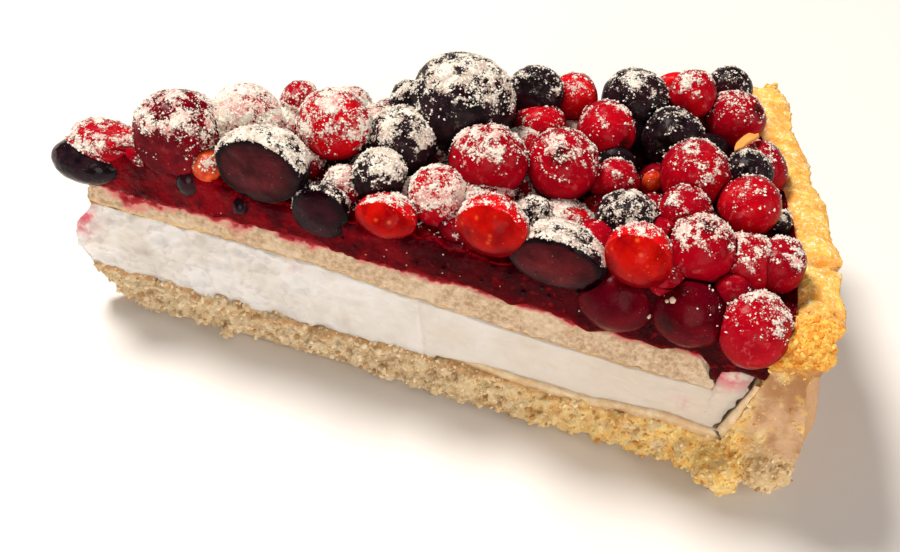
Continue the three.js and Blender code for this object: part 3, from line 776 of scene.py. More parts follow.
def stones(places, sizes, gen):
    """Little uneven stones with eight sides, one at each place"""
    n = len(places)
    shape = CORNERS[None] * sizes[:, None, None] * gen.uniform(0.6, 1.3, (n, 6, 1))
    shape = shape + gen.normal(size=(n, 6, 3)) * sizes[:, None, None] * 0.25
    points = shape + places[:, None]
    return points.reshape(-1, 3), (STONE_FACES[None] + (np.arange(n) * 6)[:, None, None]).reshape(-1, 3)


print("sides of a stone:", len(STONE_FACES))

# %% [markdown]
# The few larger crumbs are rounder lumps. All are coloured by a random shade, and by how near the rim they
# lie, as the crust below them is.
# %% Crumbs on the cut
CRUMBS, LARGE_CRUMB = 8000, 0.36


def three_tones(c, middle, dark, medium, light):
    lower = c.blend(c.span(c.value("shade"), 0, middle), dark, medium)
    return c.blend(c.span(c.value("shade"), middle, 1.0), lower, light)


gen = np.random.default_rng(77)
on_corner = ease((crust_p[:, 0] - 108) / 3) * ease((crust_p[:, 2] - 26.5) / 2) * (cut_depth(crust_p)[0] < 9)
crumb_weight = broken * (1 - 0.97 * smooth_end) * (1 + 0.5 * on_corner) * (crust_p[:, 2] > 0.5)
crumb_spots = strewn(crust_p, in_triangles(crust_q), crumb_weight, CRUMBS, gen)
crumb_sizes = 0.12 + 0.42 * gen.random(CRUMBS) ** 3.4
crumb_sizes *= 1 - 0.15 * (crumb_spots[:, 2] > 25)
large = crumb_sizes > LARGE_CRUMB
p, f = gather([lumps(crumb_spots[large], crumb_sizes[large], 1, 0.28, 78),
               stones(crumb_spots[~large], crumb_sizes[~large] * 1.15, gen)])
p[:, 2] = np.maximum(p[:, 2], 0)
shade = np.concatenate([np.repeat(gen.random(large.sum()), 12), np.repeat(gen.random((~large).sum()), 6)])
golden_share, foot_share = towards_rim(p, 0.75)
c = Finish("loose_crust_crumbs", 0.9, Specular_IOR_Level=0.2)
plain_crumb = three_tones(c, 0.4, (184, 146, 100), (232, 206, 164), (250, 232, 198))
golden_crumb = three_tones(c, 0.5, (226, 162, 78), (250, 206, 106), (255, 236, 160))
rim_crumb = c.blend(c.value("shade"), (236, 150, 52), (255, 220, 122))
golden_crumb = c.blend(c.span(c.value("gold"), 1.0, 2.0), golden_crumb, rim_crumb)
gold = c.times(c.value("gold"), c.span(c.noise(3.2, 2), 0.3, 0.56, 0.3, 1))
c.colour(c.blend(c.math("MINIMUM", gold, 1.0), plain_crumb, golden_crumb))
piece("cut_crumbs", p, f, c, smooth=False,
      values={"shade": shade, "gold": (golden_share + 2 * ease((p[:, 2] - 22.5) / 5)) * foot_share})
print("crumbs on the cut:", CRUMBS, "of which large:", large.sum())

# %% [markdown]
# ## Lining
# Before the filling went in, the shell was brushed with a thin pale coat that kept it crisp. It shows as a
# light line under the cream and up the wall. Following the same stations as the solid, it is a thin block
# that bends with the crust.
# %% Lining
def coat(r):
    return 1.5 * ease((r - LINING_START + 3) / 12) + 0.25


def wall_coat(z):
    return mix(coat(FLOOR_END), 0.7, ease((z - FLOOR_THICKNESS) / 14))


def lining():
    k = across(25)
    rows = []
    floor_r = np.linspace(LINING_START, FLOOR_END - SEAM, 70)
    for r in floor_r:
        under = floor_top(r, k) + SEAM
        inner = r - coat(r) if r == floor_r[-1] else r
        rows.append([on_slice(r, k, under), on_slice(inner, k, under + coat(r))])
    for z in np.linspace(FLOOR_THICKNESS + 2, LINING_TOP, 24):
        outer = wall_inside(z) - SEAM
        rows.append([on_slice(outer, k, z + 0 * k), on_slice(outer - wall_coat(z), k, z + 0 * k)])
    return skin(np.array(rows))


p, q = lining()
starting = ease((p[:, :1] - LINING_START) / 14)
uneven = (smooth_noise(p, 1.4, 6)[:, None] - 0.5) * np.array([0, 0.3, 0.35])
p = p + uneven + (1 - starting) * np.array([0, 0.9, 0])
p = p - np.array([0, 0.25, 0]) * ease((p[:, :1] - 70) / 10) * (p[:, 1:2] < 3)
c = Finish("pale_coat", 0.55, Subsurface_Weight=0.15, Subsurface_Scale=0.002)
c.colour(c.two_tone(1.5, 0.35, 0.65, (226, 190, 142), (240, 216, 180)))
c.bump(c.noise(0.7, 2), 0.1)
piece("lining_look", p, q, c, node="lining")
print("lining runs up to", round(float(p[:, 2].max()), 1), "mm")

# %% [markdown]
# ## Cream
# A set white cream cuts cleanly, but the knife drags it: near the tip the face is torn into little sideways
# wrinkles, and near the rim it is smooth. It comes as a block of points from the tip to the wall, with a
# fine grid on the cut faces, that banks up behind the sponge and ends in an uneven crack along the wall.
# %% Cream block
def layer(rs, j_steps, k, bottom, top, end=None):
    """A block of points between two heights, its last row following the wall if asked"""
    rows = []
    j = np.linspace(0, 1, j_steps)
    for n, r in enumerate(rs):
        z = mix(bottom(r, k)[None], top(r, k)[None], j[:, None])
        where = end(z) if end is not None and n == len(rs) - 1 else r
        rows.append(on_slice(where, k[None], z))
    return np.array(rows)


def cream_bottom(r, k):
    under = coat(r) + SEAM if r >= LINING_START else 0
    return floor_top(r, k) + SEAM + under


def cream_upper(r, k):
    return CREAM_BANK_TOP + 0 * k if r > SPONGE_END + 0.6 else cream_top(r, k)


def rise_of(P):
    """Share of the height of a block, 0 below and 1 above"""
    return np.linspace(0, 1, P.shape[1])[None, :, None]


rs = np.concatenate([np.linspace(0, SPONGE_END + SEAM, 300), np.linspace(SPONGE_END + 0.7, 106.0, 3)])
P = layer(rs, 34, across(9), cream_bottom, cream_upper, lambda z: wall_inside(z) - wall_coat(z) - 0.3)
P[-1, ..., 0] -= 0.5 * ease(rough_noise(P[-1], 1.3, 33, 2) * 3 - 1)
for row, share in ((-3, 0.1), (-2, 0.5)):
    P[row, ..., :2] = mix(P[-4, ..., :2], P[-1, ..., :2], share)
print("cream stations:", len(rs))

# %% [markdown]
# The wrinkles are a noise stretched along the cut, and the folds are the creases of another one. Both fade
# out towards the rim. One fine crack runs down the middle of the face, and the tip leans back at the top.
# %% Cream wrinkles
FOLD_STRETCH = np.array([0.7, 1, 1.3])


def creases(p):
    return np.abs(rough_noise(p * FOLD_STRETCH + 9, 2.4, 21, 3) - 0.5)


p = P[:, :, 0]
dragged = 0.35 + 0.65 * (1 - ease((p[..., 0] - 30) / 35))
slanted = p * np.array([0.45, 1, 1.0]) + np.array([0, 0, 0.35]) * p[..., :1]
wrinkle = rough_noise(slanted, 1.6, 3) - 0.5
swell = np.sin(pi * rise_of(P)[..., 0]) * (0.7 * (1 - ease(p[..., 0] / 9)) + 0.2)
crack = 0.35 * bell(p[..., 0], 60.2 - 0.16 * (p[..., 2] - 8), 0.22)
P[:, :, 0, 1] -= wrinkle * dragged * 1.5 - creases(p) * dragged * 2.2 + swell - crack
P[:, :, -1] += BACK_NORMAL * (((rough_noise(P[:, :, -1], 2.6, 9) - 0.5) * 0.4 + 0.1)[..., None])
rise = rise_of(P)
lean = 3.0 * ease((rise - 0.55) / 0.45) ** 1.5 + 1.6 * ease((0.22 - rise) / 0.22) - 0.3 * np.sin(pi * rise)
P[..., 0] += (lean + 0.5 * (smooth_noise(P, 2.5, 4) - 0.5)) * (1 - ease(P[..., 0] / 7))
cream_p, cream_q = skin(P)
print("cream faces:", len(cream_q))

# %% [markdown]
# The cream is nearly white and lets light in a little way, so its shadows stay soft. It is painted greyer and
# warmer towards the rim as shade for the less lit end of the face, its folds near the tip are painted grey as
# shade, and juice has stained it pink at the tip and beside the sponge's end.
# %% Cream finish
STAINS = [((1.0, 0.0, 18.2), 2.4, 1.3), ((0.8, 0.0, 15.0), 1.8, 0.9), ((106.8, 0, 21.8), 2.6, 1.3),
          ((101.0, 0, 13.5), 1.5, 0.4), ((38, 0, 18.5), 1.4, 0.25)]
c = Finish("white_cream", 0.5, Subsurface_Weight=0.25, Subsurface_Scale=0.003,
           Subsurface_Radius=(1.0, 0.8, 0.6), Specular_IOR_Level=0.4)
white = c.two_tone(9, 0.35, 0.7, (240, 238, 236), (228, 222, 214))
# painted shade: greyer and warmer towards the rim end of the face, which gets less light
white = c.blend(c.span(c.value("along"), 40, 108, 0, 0.75), white, (220, 204, 184))
# painted shade: grey along the folds of the dragged cream
white = c.blend(c.span(c.value("fold_shade"), 0.5, 1.0, 0, 0.5), white, (198, 190, 190))
white = c.spotted(white, (205, 196, 190), 0.9, 0.62, 0.74, 0.35, 3, stretch=(1, 1, 2.4))
pink = c.times(c.value("stain"), c.span(c.noise(2.6, 2), 0.35, 0.6))
c.colour(c.blend(c.math("MINIMUM", pink, 1.0), white, (222, 92, 116)))
c.bump(c.noise(0.8, 3, stretch=(1, 1, 2)), 0.12, 0.8)
stain = np.zeros(len(cream_p))
for place, width, strength in STAINS:
    stain = np.maximum(stain, strength * np.exp(-((cream_p - np.array(place)) ** 2).sum(1) / width**2))
# how near a point lies to a fold near the tip, for the painted shade along the folds
fold_shade = (1 - creases(cream_p) * 8) * (1 - ease((cream_p[:, 0] - 30) / 35))
piece("cream_look", cream_p, cream_q, c, node="cream",
      values={"along": cream_p[:, 0], "stain": stain, "fold_shade": fold_shade})
print("stains on the cream:", len(STAINS))

# %% [markdown]
# ## Sponge
# The sponge is an open crumb with pores of up to a millimetre, which a cell pattern presses into a fine
# grid. Its right end is rounded and uneven, and its left end leans back.
# %% Sponge shape
def sponge_under(r, k):
    return cream_top(r, k) + SEAM


def sponge_upper(r, k):
    fullness = np.sqrt(np.clip((SPONGE_END - r) / 3.6, 0.06, 1))
    return mix(sponge_under(r, k) + 2.4, sponge_top(r, k), fullness)


rs = np.concatenate([np.linspace(SPONGE_START, SPONGE_END - 3.6, 270),
                     np.linspace(SPONGE_END - 3.3, SPONGE_END, 10)])
P = layer(rs, 25, across(9), sponge_under, sponge_upper)
share = rise_of(P)[..., 0]
for end, normal, seed in ((0, FRONT_NORMAL, 2), (-1, BACK_NORMAL, 7)):
    face = P[:, :, end]
    pores = 1 - ease(cell_noise(face, 1.15, seed) / 0.55)
    rough = rough_noise(face, 1.3, seed + 3) - 0.5
    rounding = -0.8 * (1 - ease(share / 0.12)) * 0.5 - 1.0 * (1 - ease((1 - share) / 0.18)) * 0.6
    P[:, :, end] += normal * ((-0.55 * pores + 0.7 * rough + rounding + 0.05)[..., None])
rise = rise_of(P)
uneven = 1.2 * (smooth_noise(P, 1.8, 14) - 0.5)
lean = 0.3 * ease((0.3 - rise) / 0.3) + 1.0 * ease((rise - 0.6) / 0.4) + uneven
P[..., 0] += (lean - 0.4) * (1 - ease((P[..., 0] - SPONGE_START) / 5))
lean = 1.3 * ease((rise - 0.15) / 0.85) ** 2 + 0.9 * (rough_noise(P, 2.0, 24, 2) - 0.5)
P[..., 0] -= lean * ease((P[..., 0] - SPONGE_END + 4) / 4)
sponge_p, sponge_q = skin(P)
print("sponge faces:", len(sponge_q))

# %% [markdown]
# Juice soaked into its upper edge, deep red at the top and fading through pink, and reaching down further
# in some places. A thin golden line runs where its baked skin meets the cream. Both are values per point.
# In the finish, the pores of the crumb are painted darker brown as shade.
# %% Sponge finish
p = sponge_p
share_round = np.clip(p[:, 1] / (p[:, 0] * sin(ANGLE) + 1e-6), 0, 1)
reach = 1.1 + 6.0 * rough_noise(p, 3.6, 3) ** 2.4 * (0.5 + 0.8 * ease((70 - p[:, 0]) / 40))
soak = ease(1 - (sponge_top(p[:, 0], share_round) - p[:, 2]) / reach)
skin_depth = 0.7 + 1.5 * ease((60 - p[:, 0]) / 40) * smooth_noise(p, 4.0, 8)
skin_line = ease(1 - (p[:, 2] - cream_top(p[:, 0], 0.0)) / skin_depth)
c = Finish("sponge_crumb", 0.95, Specular_IOR_Level=0.2)
crumb = c.two_tone(0.8, 0.3, 0.7, (190, 154, 122), (232, 209, 178), 4, 0.7)
crumb = c.spotted(crumb, (240, 222, 194), 5.0, 0.4, 0.65, 0.45)
# painted shade: darker brown spots in the pores of the crumb
crumb = c.blend(c.span(c.cells(0.9), 0.0, 0.22, 0.3, 0), crumb, (150, 112, 78))
patchy = c.span(c.noise(4.0, 2), 0.38, 0.58, 0.25, 0.95)
crumb = c.blend(c.times(c.value("skin_line"), patchy), crumb, (242, 194, 108))
wet = c.times(c.value("soak"), c.span(c.noise(1.6, 3), 0.25, 0.55, 0.5, 1.0))
stained = c.blend(c.span(wet, 0.3, 0.6), (224, 150, 138), (178, 44, 56))
stained = c.blend(c.span(wet, 0.55, 0.95), stained, (120, 4, 20))
c.colour(c.blend(c.span(wet, 0.03, 0.34), crumb, stained))
c.bump(c.noise(0.45, 3), 0.25, 0.9)
piece("sponge_look", p, sponge_q, c, node="sponge", values={"soak": soak, "skin_line": skin_line})
print("soaked share of the sponge:", round(float((soak > 0.5).mean()), 2))

# %% [markdown]
# ## Jelly
# The berries are held by a wine-red jelly that was poured over them. Its face sits a little behind the cut
# berries. It runs down over the top edge of the sponge in places, so the lower edge of the front face is
# lowered by noise, and in two places it climbs up between the berries.
# %% Jelly shape
CLIMBS = ((15, 8), (92, 11))
CLIMB_HEIGHT, CLIMB_DEPTH = 2.6, 4.5


def jelly_under(r, k):
    return CREAM_BANK_TOP + 0.4 + 0 * k if r > SPONGE_END else sponge_upper(r, k) + SEAM


rs = np.concatenate([[JELLY_START], np.linspace(SPONGE_START, SPONGE_END, 240),
                     np.linspace(105.5, FLOOR_END, 8)])
P = layer(rs, 17, across(29), jelly_under, jelly_top, lambda z: wall_inside(z) - SEAM)
share = rise_of(P)[..., 0]
drip = rough_noise(P[:, :1, 0] * np.array([1, 0, 0]), 3.4, 3) ** 1.6
P[:, :, 0, 2] -= (1 - share) ** 2 * (1.9 * drip)
P[:, -1, :, 2] += (rough_noise(P[:, -1], 5.0, 5) - 0.5) * 1.4 - 0.5 * smooth_noise(P[:, -1], 2.0, 8)
climb = np.clip(sum(bell(P[..., 0], middle, width) for middle, width in CLIMBS), 0, 1)
P[..., 2] += CLIMB_HEIGHT * climb * share[..., None] ** 2 * bell(cut_depth(P)[0], 0, CLIMB_DEPTH)
for end, normal in ((0, FRONT_NORMAL), (-1, BACK_NORMAL)):
    wet_face = rough_noise(P[:, :, end], 3.2, 11) - 0.5
    rounding = -1.3 * (1 - ease((1 - share) / 0.3)) - 0.1
    P[:, :, end] += normal * ((0.9 * wet_face + rounding + 0.25 * (1 - share))[..., None])
jelly_p, jelly_q = skin(P)
print("jelly faces:", len(jelly_q))

# %% [markdown]
# Jelly this dark shows little of its depth, so a scattering red surface with darker clouds will do. Towards
# the rim end it is painted darker still, as shade. It is wet, but it mirrors only faintly, or the white table
# would turn it grey.
# %% Jelly finish
c = Finish("wine_jelly", 0.16, Subsurface_Weight=0.3, Subsurface_Scale=0.003,
           Subsurface_Radius=(1.0, 0.05, 0.04), Specular_IOR_Level=0.035)
depth = c.two_tone(5.5, 0.34, 0.66, (60, 0, 8), (132, 0, 16))
# painted shade: darker towards the rim end of the cut face
depth = c.blend(c.span(c.value("along"), 36, 80, 0, 0.75), depth, (44, 0, 6))
c.colour(c.spotted(depth, (172, 8, 20), 1.6, 0.56, 0.72, 0.4))
c.roughness(c.span(c.noise(2.0, 2), 0.3, 0.7, 0.06, 0.2))
c.bump(c.noise(1.2, 3), 0.6, 0.9)
piece("jelly_look", jelly_p, jelly_q, c, node="jelly", values={"along": jelly_p[:, 0]})
print("top of the jelly:", round(float(jelly_p[:, 2].max()), 1), "mm")

# %% [markdown]
# ## Berries
# A berry is a ball that never stayed one: it is a little flat, dented where it lay against its neighbours,
# and marked by its dried flower. The berries along the front cut matter most, so they are listed with their
# own centre and radii. Most of them end at the cut, three stand out of it.
# %% Berries at the cut
def named(**kinds):
    """Turns red={3: value} into {"red_berry_03": value}, for any kinds of berry"""
    return {f"{kind}_berry_{n:02d}": value for kind, values in kinds.items() for n, value in values.items()}


CUT_BERRIES = named(
    dark={1: ((2.4, 1.0, 28.5), (5.9, 3.9, 3.6), "proud"), 2: ((32.0, 2.1, 36.2), (7.2, 6.0, 5.9), "front"),
          3: ((20.0, 1.4, 29.9), (2.4, 2.2, 2.7), "front"), 4: ((41.8, 1.0, 31.1), (4.4, 4.3, 4.9), "front"),
          5: ((78.4, 1.9, 33.8), (7.3, 6.2, 4.5), "front")},
    red={1: ((4.8, 3.6, 31.2), (6.2, 4.1, 2.9), "proud"), 2: ((16.5, 5.6, 35.0), (7.2, 6.9, 6.9), "front"),
         3: ((52.2, 1.1, 33.5), (4.7, 4.2, 3.4), "front"), 4: ((68.3, 0.8, 36.9), (5.4, 5.2, 4.8), "front"),
         5: ((89.8, 1.1, 38.5), (4.9, 5.0, 4.9), "front"), 6: ((88.1, 1.8, 29.0), (5.9, 4.9, 5.2), "front"),
         7: ((98.8, 2.0, 29.9), (5.8, 4.9, 5.2), "front"), 8: ((108.0, 1.5, 30.2), (5.2, 5.6, 5.8), "proud")},
    orange={1: ((22.9, 2.0, 33.4), (2.5, 2.5, 2.7), "front")})
print("berries at the front cut:", len(CUT_BERRIES))

# %% [markdown]
# All other berries take their place and size from their solids. The solids keep gaps between them, so each
# gets a small move along and up, and a swelling, until it meets its neighbours as ripe berries in a heap do.
# %% Settled berries
SETTLED = named(
    dark={6: (0.5, -2.0, 1.08), 7: (0.5, -0.8, 1.05), 8: (0.6, 0.2, 1.0), 9: (-0.5, -0.3, 1.0),
          10: (-0.9, 2.0, 1.12), 11: (-0.2, -2.2, 1.07), 12: (1.4, 1.2, 1.08), 13: (1.2, 0.2, 1.14),
          14: (0.1, 0, 1.07), 15: (-0.2, 0, 1.05), 16: (0.5, -0.6, 1.03)},
    red={9: (-1.2, 0.2, 1.16), 10: (0, -1.2, 1.25), 11: (-0.6, 0.2, 1.12), 12: (0.2, -1.8, 1.08),
         13: (-0.9, 2.2, 1.08), 14: (0.2, 1.8, 1.12), 15: (-0.9, -1.8, 1.1), 16: (0.7, 3.6, 1.2),
         17: (1.4, -1.8, 1.05), 18: (-0.3, 0.6, 1.06), 19: (1.1, 0.8, 1.1), 20: (0, -2.0, 1.1),
         21: (-0.5, 0.6, 1.06), 22: (-1.0, -2.0, 1.06), 23: (-1.2, -1.5, 1.08), 24: (0.6, -1.2, 1.15),
         25: (-0.4, -0.3, 1.1), 26: (-1.2, 2.0, 1.1), 27: (-0.3, 0, 1.02), 28: (-0.4, -0.6, 1.1),
         29: (0.5, 0.4, 1.0), 30: (-1.2, -0.1, 1.08)})
berry_nodes = sorted(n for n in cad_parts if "_berry_" in n)


def berry_place(name):
    """Centre and radii in slice millimetres, and how the berry meets the front cut"""
    if name in CUT_BERRIES:
        place, radii, kind = CUT_BERRIES[name]
        return np.array(place), np.array(radii), kind
    low, high = (np.array(corner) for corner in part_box(name))
    along, up, swell = SETTLED.get(name, (0, 0, 1))
    return to_slice((low + high) / 2) + np.array([along, 0, up]), (high - low) / 2 / MM * swell, "none"


berries = {name: berry_place(name) for name in berry_nodes}
print("berries:", len(berries), "largest", round(max(r.max() for _, r, _ in berries.values()), 1), "mm")

# %% [markdown]
# Now the skin. Each ball is made lumpy and creased, and gets a little pit with a raised star round it where
# the flower was, wider on a blueberry than on a currant. Five of these show in the photo and are placed as
# seen from the camera. The others turn away from it.
# %% Berry skin
FLOWER_AT = named(dark={13: (-0.1, 0.15), 15: (-0.4, -0.3)},
                  red={22: (-0.16, 0.2), 27: (0.5, -0.5), 30: (0.62, 0.25)})


def flower_direction(name, seed):
    if name in FLOWER_AT:
        x, y = FLOWER_AT[name]
        d = EYE_RIGHT * x + EYE_UP * y + TO_EYE * (1 - x * x - y * y) ** 0.5
    else:
        d = np.random.default_rng(seed).normal(size=3) - TO_EYE * 1.5
    d = to_slice(TIP + d * MM)
    return d / np.linalg.norm(d)


def berry_skin(name, seed, d):
    """How far out each point of a ball moves, and how near it is to the dried flower"""
    dark = name.startswith("dark")
    lumpy = (smooth_noise(d + seed * 3.1, 0.9, seed) - 0.5) * 0.12
    crease = (rough_noise(d + seed * 1.7, 0.4, seed + 1) - 0.5) * (0.065 if dark else 0.05)
    flower = flower_direction(name, seed)
    off = np.arccos(np.clip(d @ flower, -1, 1))
    wide = 0.42 if dark else 0.26
    star = 1 + 0.22 * np.cos(5 * np.arctan2(d[:, 0] - flower[0], d[:, 2] - flower[2]))
    crown = bell(off, wide * star * 0.8, wide * 0.3)
    pit = bell(off, 0, wide * 0.62)
    scale = 1 + lumpy + crease + (0.075 * crown - 0.11 * pit) * (1.0 if dark else 0.7)
    return scale, np.clip(crown * 0.6 + pit, 0, 1)


print("flowers placed by eye:", len(FLOWER_AT))

# %% [markdown]
# Where a berry would lie inside another, it is dented. Where it passes a cut, it is flattened. At the front,
# ripe flesh bulges out again, so a dome is left whose height is set per berry. Four of the berries there
# only touch the knife, and keep their skin.
# %% Dents and cuts
BULGE = named(red={3: 2.4, 4: 2.5, 5: 2.7, 6: 2.8, 7: 2.8}, dark={3: 1.4, 4: 1.2, 5: 0.7}, orange={1: 0.8})
LEAST_BULGE = 0.25
UNCUT = ("red_berry_02", "red_berry_06", "red_berry_07", "dark_berry_03")


def pressed(p, place, radii, others):
    """Dents points where they would lie inside other berries"""
    for other in others:
        centre, half, _ = berries[other]
        if np.linalg.norm(centre - place) > half.max() + radii.max() + 0.5:
            continue
        grown = half + 0.12
        q = (p - centre) / grown
        inside = np.linalg.norm(q, axis=1)
        push = inside < 1
        p[push] = centre + grown * q[push] / np.maximum(inside[push, None], 1e-3)
    return p


def on_face(name, p):
    """Where points lie on the front face of a berry, from -1 to 1 along and up"""
    place, radii, _ = berries[name]
    return (p[:, [0, 2]] - place[[0, 2]]) / radii[[0, 2]]


def cut_front(name, p, seed):
    """Flattens points at the front cut in place, and returns 1 where they are flesh"""
    dome = BULGE.get(name, LEAST_BULGE) * np.clip(1 - (on_face(name, p) ** 2).sum(1), 0, 1)
    face = 0.15 + 0.25 * (smooth_noise(p, 2.2, seed) - 0.5) - dome
    gone = p[:, 1] < face
    p[gone, 1] = face[gone]
    return gone * (0.0 if name in UNCUT else 1.0)


def cut_back(p):
    """Flattens points at the back cut in place, and returns which of them are flesh"""
    over = np.clip(p @ BACK_NORMAL, 0, None)
    p -= BACK_NORMAL * (over * 0.9)[:, None]
    return over > 0.5


print("berries that bulge out of the cut:", len(BULGE))

# %% [markdown]
# The finish will need to know where on a cut each point lies. In most berries that is the distance from the
# middle of the cut, 1 at its rim, where the skin shows as a dark line. The photo's cut currants are lit at
# the top and shaded downwards, so theirs is a height instead, with which the finish paints a highlight at the
# top of their flesh and shade below.
# %% Berry shapes
SMALL_BERRY = 3.4
ball_points, ball_faces = ball(5)
small_points, small_faces = ball(4)


def front_ring_or_shade(name, p):
    place, radii, _ = berries[name]
    along, up = on_face(name, p).T
    # on the cut currants a height: painted highlight at the top of the flesh, painted shade towards the
    # bottom
    if name.startswith("red"):
        return 0.55 - 0.7 * up + 0.2 * np.abs(along)
    return np.hypot(along, up) / max(1e-3, (1 - (place[1] / radii[1]) ** 2)) ** 0.5


def back_ring(name, p):
    place, radii, _ = berries[name]
    behind = abs(float(place @ BACK_NORMAL)) / radii.mean()
    seen = radii.mean() * max(0.05, 1 - behind**2) ** 0.5
    return np.hypot((p - place) @ BACK_ALONG, (p - place)[:, 2]) / seen


def berry_shape(name, seed):
    place, radii, kind = berries[name]
    d, faces = (small_points, small_faces) if radii.max() < SMALL_BERRY else (ball_points, ball_faces)
    scale, flower = berry_skin(name, seed, d)
    p = pressed(d * scale[:, None] * radii + place, place, radii, berry_nodes[:berry_nodes.index(name)])
    cut = cut_front(name, p, seed) if kind == "front" else np.zeros(len(p))
    sliced = np.zeros(len(p), bool) if kind == "proud" else cut_back(p)
    ring_or_shade = front_ring_or_shade(name, p) if cut.any() else np.zeros(len(p))
    ring_or_shade[sliced] = back_ring(name, p[sliced])
    cut[sliced] = 1.0
    return p, faces, cut, ring_or_shade, flower


print("points of a large and a small berry:", len(ball_points), len(small_points))

# %% [markdown]
# Icing sugar was sieved over the finished tart. It lies thickest on upward faces, mostly over the first two
# thirds from the tip, and only flecks the berries by the rim. Each point of a berry gets a dust value: how
# much it faces up, times how sugared its berry is, broken into patches. On a few berries the sugar hangs
# further down the sides.
# %% Sugar on the berries
SUGARED = named(dark={1: 0.0, 2: 0.9, 3: 0.0, 4: 0.55, 5: 0.9, 6: 0.8, 7: 0.62, 10: 0.85, 11: 0.85, 12: 0.6,
                      13: 0.62, 14: 0.55, 15: 0.55},
                red={3: 0.55, 4: 0.7, 5: 0.6, 6: 0.0, 7: 0.08, 8: 0.72, 9: 0.95, 10: 0.15, 11: 0.72, 12: 0.82,
                     13: 0.8, 14: 0.65, 15: 0.75, 16: 0.55, 17: 0.55, 18: 0.4, 20: 0.42, 21: 0.62, 22: 0.55,
                     23: 0.75, 24: 1.0, 26: 0.6, 29: 0.25},
                orange={1: 0.25, 2: 0.2})
USUAL_SUGAR = 0.5
DRAPED = named(red={9: 0.25, 11: 0.42, 12: 0.3, 13: 0.3, 24: 0.3}, dark={6: 0.2, 10: 0.15})


def facing(p, faces):
    """The direction that each point of a mesh of triangles faces"""
    a, b, c = p[faces[:, 0]], p[faces[:, 1]], p[faces[:, 2]]
    normal = np.cross(b - a, c - a)
    out = np.zeros_like(p)
    for corner in range(3):
        np.add.at(out, faces[:, corner], normal)
    return out / np.maximum(np.linalg.norm(out, axis=1, keepdims=True), 1e-9)


def dust_on(p, normal, amount, drape, cut, seed):
    left = ease((62 - p[:, 0]) / 40)
    hang = 0.1 + drape + 0.25 * left
    up = ease((normal[:, 2] + 0.12 * normal[:, 1] + hang) / 0.95)
    patch = rough_noise(p, 2.8, 60 + seed, 3) - 0.5
    clump = rough_noise(p, 0.85, 90 + seed, 2) - 0.5
    dust = up * (0.1 + 0.66 * amount) + patch * 1.1 + clump * 1.1 - 0.06 + 0.15 * left
    return np.clip(dust, 0, 1) * ease(up * 4) * (1 - 0.95 * cut) * ease(amount * 8)


print("berries with sugar of their own:", len(SUGARED))

# %% [markdown]
# The sugar is one more layer of the berry's own finish, mixed in by the dust value with a grain finer than a
# point of the mesh can carry. It is white where it is dry, and takes the berry's colour where it is damp.
# Cut flesh is drawn by the ring value: a dark line of skin, then flesh, then pale seeds near the middle. On
# the cut currants that value is a height, so the same steps paint them light at the top and shaded below.
# %% Sugar and flesh
def sugar_over(c, colour, rough, damp=(232, 206, 192)):
    grain = c.noise(0.4, 3, 0.7)
    lift = c.span(c.value("dust"), 0.0, 1.0, -0.24, 0.17)
    mask = c.span(c.math("ADD", grain, lift), 0.445, 0.555, 0, 0.96)
    c.colour(c.blend(mask, colour, c.two_tone(1.8, 0.38, 0.6, damp, (255, 248, 236))))
    wet = c.span(c.value("cut"), 0, 1, rough, 0.12)
    c.roughness(c.add("ShaderNodeMix", {"Factor": mask, "A": wet, "B": 0.95}).outputs[0])
    c.bump(c.times(mask, grain), 0.35, 0.8)


def cut_flesh(c, whole, low, high, skin_colour, seed_colour, edge=1.0):
    flesh = c.two_tone(3.2, 0.3, 0.7, low, high, 4, 0.6)
    # on the cut currants this darkening is painted shade towards the bottom of the flesh
    flesh = c.blend(c.span(c.value("ring_or_shade"), 0.25, 0.95, 0, 0.55 * edge), flesh, skin_colour)
    seeds = c.times(c.span(c.cells(2.1), 0.0, 0.24, 1, 0), c.span(c.value("ring_or_shade"), 0.5, 0.75, 1, 0))
    flesh = c.blend(c.times(seeds, 0.6), flesh, seed_colour)
    flesh = c.blend(c.span(c.value("ring_or_shade"), 0.82, 0.95, 0, edge), flesh, skin_colour)
    return c.blend(c.value("cut"), whole, flesh)


def sheen_streaked(c, base, sheen_colour, size_mm, rough, low, amount):
    """Thin lighter streaks of painted sheen, more of them on a light berry"""
    streaks = c.span(c.noise(size_mm, 4, rough, stretch=(1, 2.4, 1)), low, 0.68, 0, amount)
    return c.blend(c.times(streaks, c.value("tone")), base, sheen_colour)


print("helpers for berry finishes ready")

# %% [markdown]
# Currant skin is thin and shiny over clear flesh, so light glows inside it: a red that changes with the tone
# of each berry, some scattering below the surface, a dark edge where the eye looks through more of it, and
# thin light streaks painted on as sheen.
# %% Red skin
red_look = Finish("red_skin", 0.2, Subsurface_Weight=0.3, Subsurface_Scale=0.003,
                  Subsurface_Radius=(1.0, 0.06, 0.05), Specular_IOR_Level=0.05)
c = red_look
tone = c.math("ADD", c.value("tone"), c.times(c.math("SUBTRACT", c.noise(3.5, 3), 0.5), 0.7))
red = c.blend(c.span(tone, 0.0, 0.55), (84, 1, 16), (168, 3, 26))
red = c.blend(c.span(tone, 0.55, 1.05), red, (222, 12, 18))
lighter = c.times(c.span(c.noise(1.4, 2, 0.5), 0.56, 0.7, 0, 0.3), c.value("tone"))
red = c.blend(lighter, red, (222, 50, 50))
# painted sheen: light pink streaks over the red skin
red = sheen_streaked(c, red, (244, 130, 136), 1.6, 0.7, 0.56, 0.42)
edge = c.add("ShaderNodeLayerWeight", {"Blend": 0.35}).outputs["Facing"]
red = c.blend(c.span(edge, 0.25, 0.95, 0, 0.85), red, (72, 0, 14))
red = cut_flesh(c, red, (142, 2, 8), (206, 20, 10), (104, 1, 9), (244, 120, 52), 0.8)
red = c.blend(c.value("eye"), red, (44, 16, 14))
c.bump(c.noise(1.1, 3, 0.6), 0.16, 0.6)
sugar_over(c, red, 0.2, (238, 178, 172))
print("nodes in the red finish:", len(c.tree.nodes))
